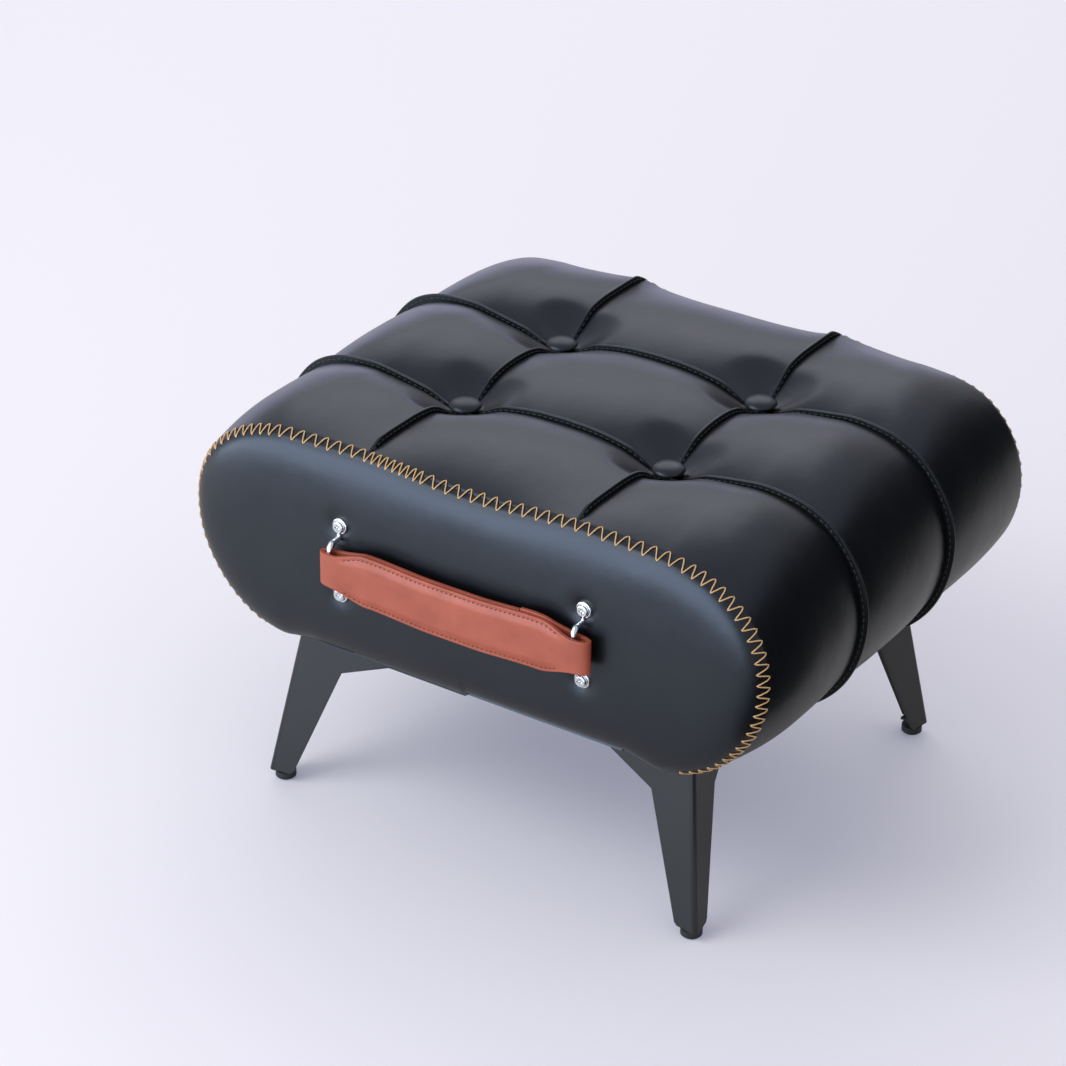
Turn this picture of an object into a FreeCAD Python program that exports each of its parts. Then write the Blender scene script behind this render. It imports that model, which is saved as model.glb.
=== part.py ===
import FreeCAD, Part
import math
import os
import Sketcher

# Shoe fitting stool: a leather covered, button tufted seat on four folded steel legs, with a strap handle
# on its front. Millimetres, +Z up. The floor is z = 0 and the middle of the whole stool is x = y = 0.
# The handle is on the front, which looks towards -Y.

Vector = FreeCAD.Vector
os.makedirs("parts", exist_ok=True)
doc = FreeCAD.newDocument("FittingStool")

# Driving dimensions
sheet = doc.addObject("Spreadsheet::Sheet", "Sizes")
sizes = {
    # Seat
    "seat_width": 420,
    "seat_depth": 324,
    "seat_thickness": 147,
    "leg_height": 124,
    "puff_height": 10,
    "panel_dome": 8.5,
    "skin_thickness": 1.5,
    "skin_gap": 0.3,
    "tuck_width": 26,
    # Buttons and pleats
    "tuft_spread_x": 152,
    "tuft_spread_y": 112,
    "tuft_sink": 11.5,
    "tuft_rim_rise": 15.5,
    "tuft_rim_width": 22,
    "pleat_rise": 5,
    "pleat_thickness": 2.4,
    "button_diameter": 22,
    "button_height": 6,
    "button_edge": 2,
    "button_gap": 0.5,
    "shank_diameter": 3.6,
    "shank_length": 4,
    "twine_diameter": 2,
    "twine_gap": 0.6,
    "knot_diameter": 5,
    "anchor_diameter": 20,
    "anchor_thickness": 1.5,
    # Wooden frame
    "base_thickness": 15,
    "board_thickness": 12,
    "end_foam": 12,
    "top_foam_height": 33,
    "frame_screw_diameter": 4,
    "frame_screw_head": 8,
    "frame_screw_length": 40,
    "frame_screw_edge": 25,
    # Legs
    "sheet_thickness": 2,
    "fold_radius": 3,
    "leg_clearance": 6.5,
    "leg_splay": 9,
    "leg_toe_in": 10.7,
    "leg_foot_width": 19,
    "leg_shoulder_width": 36,
    "leg_shoulder_drop": 34,
    "leg_reach": 120,
    "leg_side_reach": 80,
    "leg_wing_depth": 3,
    "leg_chamfer": 2,
    "leg_plate_width": 45,
    "leg_screw_diameter": 6,
    "leg_screw_length": 20,
    "leg_screw_head": 10,
    "leg_screw_head_height": 3.5,
    "leg_screw_socket": 4,
    "leg_screw_inset": 32,
    "leg_screw_edge": 14,
    "leg_screw_margin": 37,
    "t_nut_barrel": 8,
    "t_nut_flange": 18,
    "t_nut_flange_thickness": 1.5,
    "t_nut_barrel_length": 10,
    # Levelling feet
    "foot_spread_x": 316,
    "foot_spread_y": 290,
    "foot_inset": 9,
    "foot_diameter": 14,
    "foot_height": 5.5,
    "foot_bevel": 1.2,
    "foot_travel": 6,
    "stud_diameter": 5,
    "stud_length": 20,
    "stud_bury": 4,
    "nut_width": 8,
    "nut_height": 3.5,
    "nut_plate_thickness": 2,
    "nut_plate_width": 10,
    "thread_gap": 0.05,
    # Footman loops
    "bar_spread": 180,
    "loop_pitch": 48.4,
    "eyelet_diameter": 12,
    "eyelet_thickness": 1.6,
    "eyelet_rim_width": 1.3,
    "eyelet_rim_height": 0.7,
    "neck_width": 4.4,
    "neck_length": 8.2,
    "wire_diameter": 2.8,
    "bar_diameter": 4.4,
    "bar_standoff": 11.5,
    "bar_length": 34.8,
    "loop_screw_diameter": 3.6,
    "loop_screw_length": 24,
    "loop_screw_head": 8,
    "loop_screw_head_height": 2.4,
    "loop_screw_cross": 1,
    "loop_screw_cross_length": 4,
    "loop_screw_cross_depth": 1.1,
    "screw_gap": 0.1,
    # Strap handle
    "strap_length": 199,
    "strap_width": 32.7,
    "strap_end_width": 25.4,
    "strap_wide_length": 142,
    "strap_taper_length": 14,
    "strap_flare_length": 19,
    "strap_leather": 2.2,
    "filler_thickness": 3.2,
    "filler_margin": 3.5,
    "strap_loop_radius": 5.2,
    "strap_sideways": 2.5,
    "strap_joint": 52,
    "strap_joint_gap": 0.5,
    "rest_gap": 0.3,
    # Underside
    "dust_cover_thickness": 0.8,
    "dust_cover_margin": 14,
    "staple_length": 11,
    "staple_width": 1.2,
    "staple_thickness": 0.6,
    "staple_pitch": 30,
    "staple_edge": 5,
    "overrun": 2,
}
for row, (name, value) in enumerate(sizes.items(), start=1):
    sheet.set(f"A{row}", name)
    sheet.set(f"B{row}", str(value))
    sheet.setAlias(f"B{row}", name)
doc.recompute()


def size(name):
    """A driving dimension, as the sheet holds it."""
    return float(sheet.get(name))


# Places that the seat's sizes give, in the seat's own frame: its middle is at x = y = 0
end_radius = size("seat_thickness") / 2
lobe_centre = size("seat_width") / 2 - end_radius
mid_height = size("leg_height") + end_radius
seat_top = size("leg_height") + size("seat_thickness")
seam_reach = size("seat_depth") / 2
panel_reach = seam_reach + size("panel_dome")
tuft_x = size("tuft_spread_x") / 2
tuft_y = size("tuft_spread_y") / 2
puff = size("puff_height")
skin = size("skin_thickness")
foam_inset = skin + size("skin_gap")
overrun = size("overrun")

# The handle reaches further than the back, so the seat stands back by half the difference
strap_centre_reach = panel_reach + size("bar_standoff")
strap_half_thickness = size("strap_leather") + size("filler_thickness") / 2
front_reach = strap_centre_reach + max(strap_half_thickness, size("strap_loop_radius"))
seat_shift = Vector(0, (front_reach - panel_reach) / 2, 0)
sheet.set("A200", "seat_shift_y")
sheet.set("B200", str(seat_shift.y))
sheet.setAlias("B200", "seat_shift_y")
doc.recompute()

corners = {
    "front_left": (-1, -1),
    "front_right": (1, -1),
    "back_left": (-1, 1),
    "back_right": (1, 1),
}
sub_parts = []


def keep(item, node):
    """Names a finished sub-part after its node and stands it in the frame of the whole stool."""
    item.Label = node
    if item.TypeId == "Part::Feature":
        item.Placement = FreeCAD.Placement(seat_shift, FreeCAD.Rotation())
    else:
        item.setExpression("Placement.Base.y", "Sizes.seat_shift_y")
    sub_parts.append(item)
    return item


def shaped(node, shape):
    """A sub-part whose shape is worked out below."""
    item = doc.addObject("Part::Feature", node)
    item.Shape = shape
    return keep(item, node)


def body_named(name):
    return doc.addObject("PartDesign::Body", name)


def sketch_on(body, name, role, lift=None):
    """A sketch on one of the body's own planes, lifted along the plane's normal."""
    sketch = body.newObject("Sketcher::SketchObject", name)
    plane = [item for item in body.Origin.OriginFeatures if item.Role == role][0]
    sketch.AttachmentSupport = [(plane, "")]
    sketch.MapMode = "FlatFace"
    if lift is not None:
        sketch.setExpression("AttachmentOffset.Base.z", lift)
    return sketch


def pin(sketch, geometry, point, place):
    """Ties a point of the sketch to a place given as two expressions."""
    for kind, text in zip(("DistanceX", "DistanceY"), place):
        value = float(sketch.evalExpression(text))
        number = sketch.addConstraint(Sketcher.Constraint(kind, -1, 1, geometry, point, value))
        sketch.setExpression(f"Constraints[{number}]", text)


def spot(sketch, place):
    return Vector(float(sketch.evalExpression(place[0])), float(sketch.evalExpression(place[1])), 0)


def outline(sketch, places):
    """A closed outline of straight lines through places given as pairs of expressions."""
    first = sketch.GeometryCount
    count = len(places)
    for index, place in enumerate(places):
        following = places[(index + 1) % count]
        sketch.addGeometry(Part.LineSegment(spot(sketch, place), spot(sketch, following)))
    for index in range(count):
        following = first + (index + 1) % count
        sketch.addConstraint(Sketcher.Constraint("Coincident", first + index, 2, following, 1))
    for index, place in enumerate(places):
        pin(sketch, first + index, 1, place)


def ring(sketch, place, diameter):
    """A circle at a place, with its diameter given as an expression."""
    radius = float(sketch.evalExpression(diameter)) / 2
    number = sketch.addGeometry(Part.Circle(spot(sketch, place), Vector(0, 0, 1), radius))
    pin(sketch, number, 3, place)
    bound = sketch.addConstraint(Sketcher.Constraint("Diameter", number, 2 * radius))
    sketch.setExpression(f"Constraints[{bound}]", diameter)


def rectangle(width, depth):
    return [
        (f"-({width}) / 2", f"-({depth}) / 2"),
        (f"({width}) / 2", f"-({depth}) / 2"),
        (f"({width}) / 2", f"({depth}) / 2"),
        (f"-({width}) / 2", f"({depth}) / 2"),
    ]


def pad(body, sketch, length, both_ways=False):
    feature = body.newObject("PartDesign::Pad", sketch.Name + "Pad")
    feature.Profile = sketch
    feature.setExpression("Length", length)
    feature.Midplane = both_ways
    return feature


def cut_through(body, sketch):
    feature = body.newObject("PartDesign::Pocket", sketch.Name + "Pocket")
    feature.Profile = sketch
    feature.Type = "ThroughAll"
    feature.Midplane = True
    return feature


def revolve(body, sketch):
    """Turns a half section once round the sketch's upright axis."""
    feature = body.newObject("PartDesign::Revolution", sketch.Name + "Turned")
    feature.Profile = sketch
    feature.ReferenceAxis = (sketch, ["V_Axis"])
    feature.Angle = 360
    return feature


def copies(prototype, places):
    """One compound of the prototype's solid at each place."""
    made = []
    for place in places:
        piece = prototype.Shape.copy()
        piece.Placement = FreeCAD.Placement(place, FreeCAD.Rotation()).multiply(piece.Placement)
        made.append(piece)
    return Part.makeCompound(made)


def block(low, high):
    low, high = Vector(*low), Vector(*high)
    return Part.makeBox(high.x - low.x, high.y - low.y, high.z - low.z, low)


# Seat: each section across the width is two quarter-round ends and three swelling arcs over the top
quarter_share = math.cos(math.radians(45))
# Columns: place along the strip, then swell of the round end, rise at the shoulder, of the outer panel, at
# the front-to-back pleat and of the middle panel. The rises are shares of the puff height.
seam_strip_shares = (
    (0.00, 0.00, -0.10, 0.00, 0.05, -0.35),
    (0.15, 0.40, 0.30, 0.40, 0.28, 0.38),
    (0.50, 0.75, 0.60, 0.70, 0.35, 0.80),
    (0.82, 0.65, 0.40, 0.28, -0.40, 0.60),
    (1.00, 0.40, -0.35, -0.80, -1.20, 0.00),
)
middle_strip_shares = (
    (0.00, 0.40, -0.35, -0.80, -1.20, 0.00),
    (0.20, 0.75, 0.45, 0.30, -0.60, 0.70),
    (0.50, 0.85, 0.65, 0.60, -0.05, 0.95),
    (0.80, 0.75, 0.45, 0.30, -0.60, 0.70),
    (1.00, 0.40, -0.35, -0.80, -1.20, 0.00),
)
# The end panels: depth as a share of the dome, and how far the section draws in as a share of the end radius
dome_shares = ((0.00, 0.00), (0.45, 0.04), (0.82, 0.15), (1.00, 0.46))


def seat_section(y, row, inset):
    """The closed section of the seat at one depth, drawn in by the inset all round."""
    swell, shoulder, crown, tuft, middle = [puff * share for share in row]
    round_end = end_radius - inset
    bottom = size("leg_height") + inset
    points = {}
    for side in (-1, 1):
        points[side] = [
            Vector(side * lobe_centre, y, bottom),
            Vector(
                side * (lobe_centre + (round_end + swell) * quarter_share),
                y,
                mid_height - round_end * quarter_share,
            ),
            Vector(side * (lobe_centre + round_end + swell), y, mid_height),
            Vector(
                side * (lobe_centre + (round_end + swell) * quarter_share),
                y,
                mid_height + (round_end + shoulder) * quarter_share,
            ),
            Vector(side * lobe_centre, y, seat_top + shoulder - inset),
            Vector(side * (lobe_centre + tuft_x) / 2, y, seat_top + crown - inset),
            Vector(side * tuft_x, y, seat_top + tuft - inset),
        ]
    left, right = points[-1], points[1]
    middle_point = Vector(0, y, seat_top + middle - inset)
    edges = [
        Part.LineSegment(left[0], right[0]).toShape(),
        Part.Arc(right[0], right[1], right[2]).toShape(),
        Part.Arc(right[2], right[3], right[4]).toShape(),
        Part.Arc(right[4], right[5], right[6]).toShape(),
        Part.Arc(right[6], middle_point, left[6]).toShape(),
        Part.Arc(left[6], left[5], left[4]).toShape(),
        Part.Arc(left[4], left[3], left[2]).toShape(),
        Part.Arc(left[2], left[1], left[0]).toShape(),
    ]
    return Part.Wire(edges)


def loft(sections):
    return Part.makeLoft(sections, True, False)


def strip_places(strip):
    """Start and end depth of a strip, with its table of shares, listed from its own start."""
    return {
        "front": (-seam_reach, -tuft_y, seam_strip_shares),
        "middle": (-tuft_y, tuft_y, middle_strip_shares),
        "back": (seam_reach, tuft_y, seam_strip_shares),
    }[strip]


def strip_loft(strip, inset):
    start, end, table = strip_places(strip)
    return loft([seat_section(start + row[0] * (end - start), row[1:], inset) for row in table])


def dome_loft(side, inset):
    """The domed end panel, from the seam outwards; the inset also moves it towards the seat."""
    sections = []
    for depth_share, draw_share in dome_shares:
        y = side * (seam_reach + depth_share * size("panel_dome") - inset)
        sections.append(seat_section(y, seam_strip_shares[0][1:], draw_share * end_radius + inset))
    return loft(sections)


tuft_floor = seat_top - size("tuft_sink")
cup_radius = size("button_diameter") / 2 + size("button_gap")
tuft_places = [Vector(side_x * tuft_x, side_y * tuft_y, 0) for side_x in (-1, 1) for side_y in (-1, 1)]


def cups(lift):
    """The four dished hollows round the buttons, as solids to cut away."""
    made = []
    for place in tuft_places:
        base = place + Vector(0, 0, tuft_floor + lift)
        rim = cup_radius + size("tuft_rim_width")
        made.append(Part.makeCone(cup_radius, rim, size("tuft_rim_rise"), base))
        upper = base + Vector(0, 0, size("tuft_rim_rise"))
        made.append(Part.makeCylinder(rim, puff, upper))
    return made


def posts(radius, low, high):
    return [Part.makeCylinder(radius, high - low, place + Vector(0, 0, low)) for place in tuft_places]


shank_hole = size("shank_diameter") / 2 + size("twine_gap")
twine_hole = size("twine_diameter") / 2 + size("twine_gap")
strips = ("front", "middle", "back")
outer_strips = {strip: strip_loft(strip, 0).cut(cups(0)) for strip in strips}
skin_strips = {strip: strip_loft(strip, skin).cut(cups(-skin)) for strip in strips}

# Cover: three sewn strips of leather, tucked in under the base board all round
open_half_x = lobe_centre - size("tuck_width")
open_half_y = seam_reach - size("end_foam") - size("tuck_width")
base_bottom = size("leg_height") + foam_inset
underside_opening = block(
    (-open_half_x, -open_half_y, size("leg_height") - overrun),
    (open_half_x, open_half_y, base_bottom),
)
shank_holes = posts(shank_hole, tuft_floor - size("seat_thickness") / 2, tuft_floor + overrun)

# End panels: domed leather, sewn to the cover at the seam
outer_domes = {side: dome_loft(side, 0) for side in (-1, 1)}
skin_domes = {side: dome_loft(side, skin) for side in (-1, 1)}

# Legs: the fold runs down and outwards from the top plate; these are its places for the +X +Y corner. Both
# flanges turn in a little from the sides of the seat, so the fold is sharper than a square one.
splay_slope = math.tan(math.radians(size("leg_splay")))
toe_in = math.radians(size("leg_toe_in"))
front_along = Vector(math.cos(toe_in), math.sin(toe_in), 0)
side_along = Vector(math.sin(toe_in), math.cos(toe_in), 0)
foot_x = size("foot_spread_x") / 2
foot_y = size("foot_spread_y") / 2
dust_bottom = size("leg_height") - size("dust_cover_thickness")
plate_bottom = dust_bottom - size("sheet_thickness")


def leg_place(height, back, side_back):
    """A place at a height, so far back from the outer fold along the two flanges."""
    reach = size("foot_inset") - (height - size("leg_clearance")) * splay_slope
    fold = Vector(foot_x + reach, foot_y + reach, height)
    return fold - front_along * back - side_along * side_back


plate_corner = leg_place(plate_bottom, 0, 0)
leg_screw_places = [
    leg_place(plate_bottom, back, side_back)
    for back, side_back in (
        (size("leg_screw_inset"), size("leg_screw_inset")),
        (size("leg_reach") - size("leg_screw_margin"), size("leg_screw_edge")),
        (size("leg_screw_inset"), size("leg_side_reach") - size("leg_screw_edge")),
    )
]
all_leg_screw_places = [
    Vector(side_x * place.x, side_y * place.y, 0)
    for side_x, side_y in corners.values()
    for place in leg_screw_places
]

leg_screw_hole = size("leg_screw_diameter") / 2 + size("screw_gap")
leg_holes = [
    Part.makeCylinder(leg_screw_hole, base_bottom - plate_bottom + 2 * overrun, place)
    for place in [point + Vector(0, 0, plate_bottom - overrun) for point in all_leg_screw_places]
]

for strip in strips:
    cover = outer_strips[strip].cut(skin_strips[strip])
    cover = cover.cut([underside_opening] + shank_holes + leg_holes)
    shaped(f"cover_{strip}_strip", cover)

loop_screw_places = [
    (side_x * size("bar_spread") / 2, mid_height + side_z * size("loop_pitch") / 2)
    for side_x in (-1, 1)
    for side_z in (-1, 1)
]


def front_rods(radius, near, far):
    """Rods along Y at the four footman loop screws, from the near to the far depth."""
    return [Part.makeCylinder(radius, far - near, Vector(x, near, z), Vector(0, 1, 0)) for x, z in loop_screw_places]


screw_clear = size("loop_screw_diameter") / 2 + size("screw_gap")
panel_holes = front_rods(screw_clear, -panel_reach - overrun, -seam_reach + end_radius / 2)
shaped("front_panel", outer_domes[-1].cut(skin_domes[-1]).cut(panel_holes))
shaped("back_panel", outer_domes[1].cut(skin_domes[1]))

# Wooden frame: base board, top board, two end boards with rounded sides, two rails and a middle rib
base_top = base_bottom + size("base_thickness")
frame_reach = seam_reach - size("end_foam")
inner_reach = frame_reach - size("board_thickness")
top_board_top = seat_top - size("top_foam_height")
top_board_bottom = top_board_top - size("board_thickness")
base_bottom_text = "Sizes.leg_height + Sizes.skin_thickness + Sizes.skin_gap"
base_top_text = f"{base_bottom_text} + Sizes.base_thickness"
top_board_top_text = "Sizes.leg_height + Sizes.seat_thickness - Sizes.top_foam_height"
top_board_bottom_text = f"{top_board_top_text} - Sizes.board_thickness"
frame_width_text = "Sizes.seat_width - Sizes.seat_thickness"
frame_depth_text = "Sizes.seat_depth - 2 * Sizes.end_foam"
inner_depth_text = f"{frame_depth_text} - 2 * Sizes.board_thickness"

base = body_named("base_board")
sketch = sketch_on(base, "BaseOutline", "XY_Plane", base_bottom_text)
outline(sketch, rectangle(frame_width_text, frame_depth_text))
pad(base, sketch, "Sizes.base_thickness")
sketch = sketch_on(base, "BaseHoles", "XY_Plane", base_bottom_text)
for place in all_leg_screw_places:
    ring(sketch, (str(place.x), str(place.y)), "Sizes.t_nut_barrel + 2 * Sizes.screw_gap")
cut_through(base, sketch)
keep(base, "base_board")

top = body_named("top_board")
sketch = sketch_on(top, "TopOutline", "XY_Plane", top_board_bottom_text)
outline(sketch, rectangle(frame_width_text, inner_depth_text))
pad(top, sketch, "Sizes.board_thickness")
sketch = sketch_on(top, "TopHoles", "XY_Plane", top_board_bottom_text)
for side_x in ("-", ""):
    for side_y in ("-", ""):
        place = (f"{side_x}Sizes.tuft_spread_x / 2", f"{side_y}Sizes.tuft_spread_y / 2")
        ring(sketch, place, "Sizes.twine_diameter + 2 * Sizes.twine_gap")
cut_through(top, sketch)
keep(top, "top_board")

# The end boards are cut flat where the base and the top board meet them
end_board_radius = end_radius - size("end_foam")
low_angle = math.asin((base_top - mid_height) / end_board_radius)
high_angle = math.asin((top_board_top - mid_height) / end_board_radius)


def end_board_face(y):
    """The outline of an end board in the plane at depth y."""
    points = []
    for angle in (low_angle, 0, high_angle):
        points.append((lobe_centre + end_board_radius * math.cos(angle), end_board_radius * math.sin(angle)))
    right = [Vector(x, y, mid_height + z) for x, z in points]
    left = [Vector(-x, y, mid_height + z) for x, z in points]
    edges = [
        Part.LineSegment(left[0], right[0]).toShape(),
        Part.Arc(right[0], right[1], right[2]).toShape(),
        Part.LineSegment(right[2], left[2]).toShape(),
        Part.Arc(left[2], left[1], left[0]).toShape(),
    ]
    return Part.Face(Part.Wire(edges))


rail_middle = lobe_centre - size("board_thickness") / 2
frame_screw_heights = (
    base_top + size("frame_screw_edge"),
    top_board_bottom - size("frame_screw_edge"),
)
frame_screw_places = [(side * rail_middle, height) for side in (-1, 1) for height in frame_screw_heights]


def frame_screw(x, z, side, gap):
    """A countersunk screw from the outer face of an end board into the end grain of a rail."""
    shank = size("frame_screw_diameter") / 2 + gap
    head = size("frame_screw_head") / 2 + gap
    start = Vector(x, side * frame_reach, z)
    inward = Vector(0, -side, 0)
    cone = Part.makeCone(head, shank, head - shank, start, inward)
    rod = Part.makeCylinder(shank, size("frame_screw_length") + gap, start, inward)
    return cone.fuse(rod)


def frame_screw_tools(side, gap):
    return [frame_screw(x, z, side, gap) for x, z in frame_screw_places]


end_boards = {}
for node, side in (("front_board", -1), ("back_board", 1)):
    board = end_board_face(side * inner_reach).extrude(Vector(0, side * size("board_thickness"), 0))
    board = board.cut(frame_screw_tools(side, size("thread_gap")))
    if side < 0:
        board = board.cut(front_rods(size("loop_screw_diameter") / 2 + size("thread_gap"), -frame_reach, 0))
    end_boards[side] = board
    shaped(node, board)

rail_tools = frame_screw_tools(-1, size("thread_gap")) + frame_screw_tools(1, size("thread_gap"))
for node, side in (("left_rail", -1), ("right_rail", 1)):
    near, far = sorted((side * lobe_centre, side * (lobe_centre - size("board_thickness"))))
    rail = block((near, -inner_reach, base_top), (far, inner_reach, top_board_bottom))
    shaped(node, rail.cut(rail_tools))

rib = doc.addObject("Part::Box", "middle_rib")
rib.setExpression("Length", "Sizes.board_thickness")
rib.setExpression("Width", inner_depth_text)
rib.setExpression("Height", f"{top_board_bottom_text} - ({base_top_text})")
rib.setExpression("Placement.Base.x", "-Sizes.board_thickness / 2")
rib.setExpression("Placement.Base.z", base_top_text)
rib.setExpression("Placement.Base.y", f"Sizes.seat_shift_y - ({inner_depth_text}) / 2")
rib.Label = "middle_rib"
sub_parts.append(rib)

shaped("frame_screws", Part.makeCompound(frame_screw_tools(-1, 0) + frame_screw_tools(1, 0)))

# Foam: one soft body under the skin, parted where the pads are glued to the frame
foam = strip_loft("front", foam_inset)
foam = foam.fuse([strip_loft("middle", foam_inset), strip_loft("back", foam_inset)])
foam = foam.fuse([dome_loft(-1, foam_inset), dome_loft(1, foam_inset)])
foam = foam.cut(cups(-foam_inset))
far_x = size("seat_width")
far_y = size("seat_depth")
far_z = 2 * seat_top
twine_holes = posts(twine_hole, base_top, tuft_floor)
shank_floor = tuft_floor - size("shank_length")
shank_hollows = posts(shank_hole, shank_floor, tuft_floor)

front_pad = foam.common(block((-far_x, -far_y, 0), (far_x, -frame_reach, far_z)))
shaped("front_pad", front_pad.cut(front_rods(screw_clear, -far_y, 0)))
shaped("back_pad", foam.common(block((-far_x, frame_reach, 0), (far_x, far_y, far_z))))
top_foam = foam.common(block((-lobe_centre, -frame_reach, top_board_top), (lobe_centre, frame_reach, far_z)))
shaped("top_foam", top_foam.cut(twine_holes + shank_hollows))
for node, side in (("left_foam", -1), ("right_foam", 1)):
    near, far = sorted((side * lobe_centre, side * far_x))
    piece = foam.common(block((near, -frame_reach, 0), (far, frame_reach, far_z)))
    shaped(node, piece.cut([end_boards[-1], end_boards[1]]))

# Pleats: standing seams. Two run left to right round both ends, two front to back over the top.
half_pleat = size("pleat_thickness") / 2
raised_cups = cups(size("pleat_rise") / 2)
button_posts = posts(size("button_diameter") / 2 + size("button_gap") / 2, tuft_floor - overrun, far_z)
all_outer = [outer_strips[strip] for strip in strips]
above_base = block((-far_x, -far_y, size("leg_height")), (far_x, far_y, far_z))
for node, side in (("front_pleat", -1), ("back_pleat", 1)):
    ridge = Part.Face(seat_section(side * tuft_y - half_pleat, middle_strip_shares[0][1:], -size("pleat_rise")))
    ridge = ridge.extrude(Vector(0, size("pleat_thickness"), 0)).common(above_base)
    shaped(node, ridge.cut(all_outer + raised_cups + button_posts))


def ridge_point(start, end, row, rise):
    return Vector(0, start + row[0] * (end - start), seat_top + puff * row[4] + rise)


def ridge_face(x):
    """The upright outline of a front-to-back pleat: it dies out at both seams and at the buttons."""
    rise = size("pleat_rise")
    chains = []
    for strip in strips:
        start, end, table = strip_places(strip)
        lifts = [0 if strip != "middle" and row[0] == 0 else rise for row in table]
        chain = [ridge_point(start, end, row, lift) for row, lift in zip(table, lifts)]
        chains.append(chain if strip != "back" else chain[::-1])
    edges = []
    for chain in chains:
        edges.append(Part.Arc(chain[0], chain[1], chain[2]).toShape())
        edges.append(Part.Arc(chain[2], chain[3], chain[4]).toShape())
    low = seat_top - size("tuft_sink") - puff
    first, last = chains[0][0], chains[-1][-1]
    corner_a, corner_b = Vector(0, last.y, low), Vector(0, first.y, low)
    edges.append(Part.LineSegment(last, corner_a).toShape())
    edges.append(Part.LineSegment(corner_a, corner_b).toShape())
    edges.append(Part.LineSegment(corner_b, first).toShape())
    face = Part.Face(Part.Wire(edges))
    face.translate(Vector(x, 0, 0))
    return face


for node, side in (("left_pleat", -1), ("right_pleat", 1)):
    ridge = ridge_face(side * tuft_x - half_pleat).extrude(Vector(size("pleat_thickness"), 0, 0))
    shaped(node, ridge.cut(all_outer + raised_cups + button_posts))

# Tuft buttons: domed shells covered in leather, each on a shank, held by twine to a washer under the board
button = body_named("ButtonPattern")
sketch = sketch_on(button, "ButtonSection", "XZ_Plane")
outline(
    sketch,
    [
        ("0", "0"),
        ("Sizes.button_diameter / 2", "0"),
        ("Sizes.button_diameter / 2", "Sizes.button_height"),
        ("0", "Sizes.button_height"),
    ],
)
button_disc = revolve(button, sketch)
doc.recompute()
round_names = [
    f"Edge{number}"
    for number, edge in enumerate(button_disc.Shape.Edges, start=1)
    if edge.Closed and edge.BoundBox.ZMin > size("button_height") / 2
]
button_dome = button.newObject("PartDesign::Fillet", "ButtonDome")
button_dome.Base = (button_disc, round_names)
button_dome.setExpression("Radius", "Sizes.button_height - Sizes.button_edge")
button_lift = tuft_floor + size("rest_gap")

shank = doc.addObject("Part::Cylinder", "ShankPattern")
shank.setExpression("Radius", "Sizes.shank_diameter / 2")
shank.setExpression("Height", "Sizes.shank_length")
anchor = doc.addObject("Part::Cylinder", "AnchorPattern")
anchor.setExpression("Radius", "Sizes.anchor_diameter / 2")
anchor.setExpression("Height", "Sizes.anchor_thickness")
doc.recompute()

shaped("tuft_buttons", copies(button, [place + Vector(0, 0, button_lift) for place in tuft_places]))
shank_lift = button_lift - size("shank_length")
shaped("button_shanks", copies(shank, [place + Vector(0, 0, shank_lift) for place in tuft_places]))
anchor_lift = top_board_bottom - size("anchor_thickness")
anchors = copies(anchor, [place + Vector(0, 0, anchor_lift) for place in tuft_places])
shaped("anchor_washers", anchors.cut(posts(twine_hole, anchor_lift - overrun, top_board_bottom + overrun)))
twines = []
for place in tuft_places:
    knot_height = anchor_lift - size("knot_diameter") / 2
    knot = Part.makeSphere(size("knot_diameter") / 2, place + Vector(0, 0, knot_height))
    rod_base = place + Vector(0, 0, knot_height)
    rod = Part.makeCylinder(size("twine_diameter") / 2, shank_lift - knot_height, rod_base)
    twines.append(knot.fuse(rod))
shaped("tufting_twines", Part.makeCompound(twines))

# Dust cover of thin cloth under the seat, with its staples
dust = body_named("dust_cover")
sketch = sketch_on(dust, "DustOutline", "XY_Plane", "Sizes.leg_height - Sizes.dust_cover_thickness")
outline(
    sketch,
    rectangle(f"{frame_width_text} - Sizes.dust_cover_margin", "Sizes.seat_depth - 2 * Sizes.dust_cover_margin"),
)
pad(dust, sketch, "Sizes.dust_cover_thickness")
sketch = sketch_on(dust, "DustHoles", "XY_Plane", "Sizes.leg_height - Sizes.dust_cover_thickness")
for place in all_leg_screw_places:
    ring(sketch, (str(place.x), str(place.y)), "Sizes.leg_screw_diameter + 2 * Sizes.screw_gap")
cut_through(dust, sketch)
keep(dust, "dust_cover")

# Legs: two flanges and a top plate of folded sheet, made for the +X +Y corner and mirrored to the others


def flange(reach, along, inward):
    """One tapering flange with its gusset, as a sheet that runs back from the fold along a unit vector."""
    low = size("leg_clearance")
    shoulder_height = plate_bottom - size("leg_shoulder_drop")
    wing_low = plate_bottom - size("leg_wing_depth")

    def place(height, back):
        return leg_place(height, 0, 0) - along * back

    points = [
        place(low, 0),
        place(low, size("leg_foot_width") - size("leg_chamfer")),
        place(low + size("leg_chamfer"), size("leg_foot_width")),
        place(shoulder_height, size("leg_shoulder_width")),
        place(wing_low, reach),
        place(plate_bottom, reach),
        place(plate_bottom, 0),
    ]
    face = Part.Face(Part.makePolygon(points + [points[0]]))
    return face.extrude(inward * size("sheet_thickness"))


# The room between the outer faces of the two flanges, which trims their sheets where they meet
room_far = size("seat_width")
room_points = [leg_place(0, 0, 0), leg_place(0, room_far, 0), leg_place(0, 0, room_far)]
fold_run = leg_place(seat_top, 0, 0) - leg_place(0, 0, 0)
room = Part.Face(Part.makePolygon(room_points + [room_points[0]])).extrude(fold_run)

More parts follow.
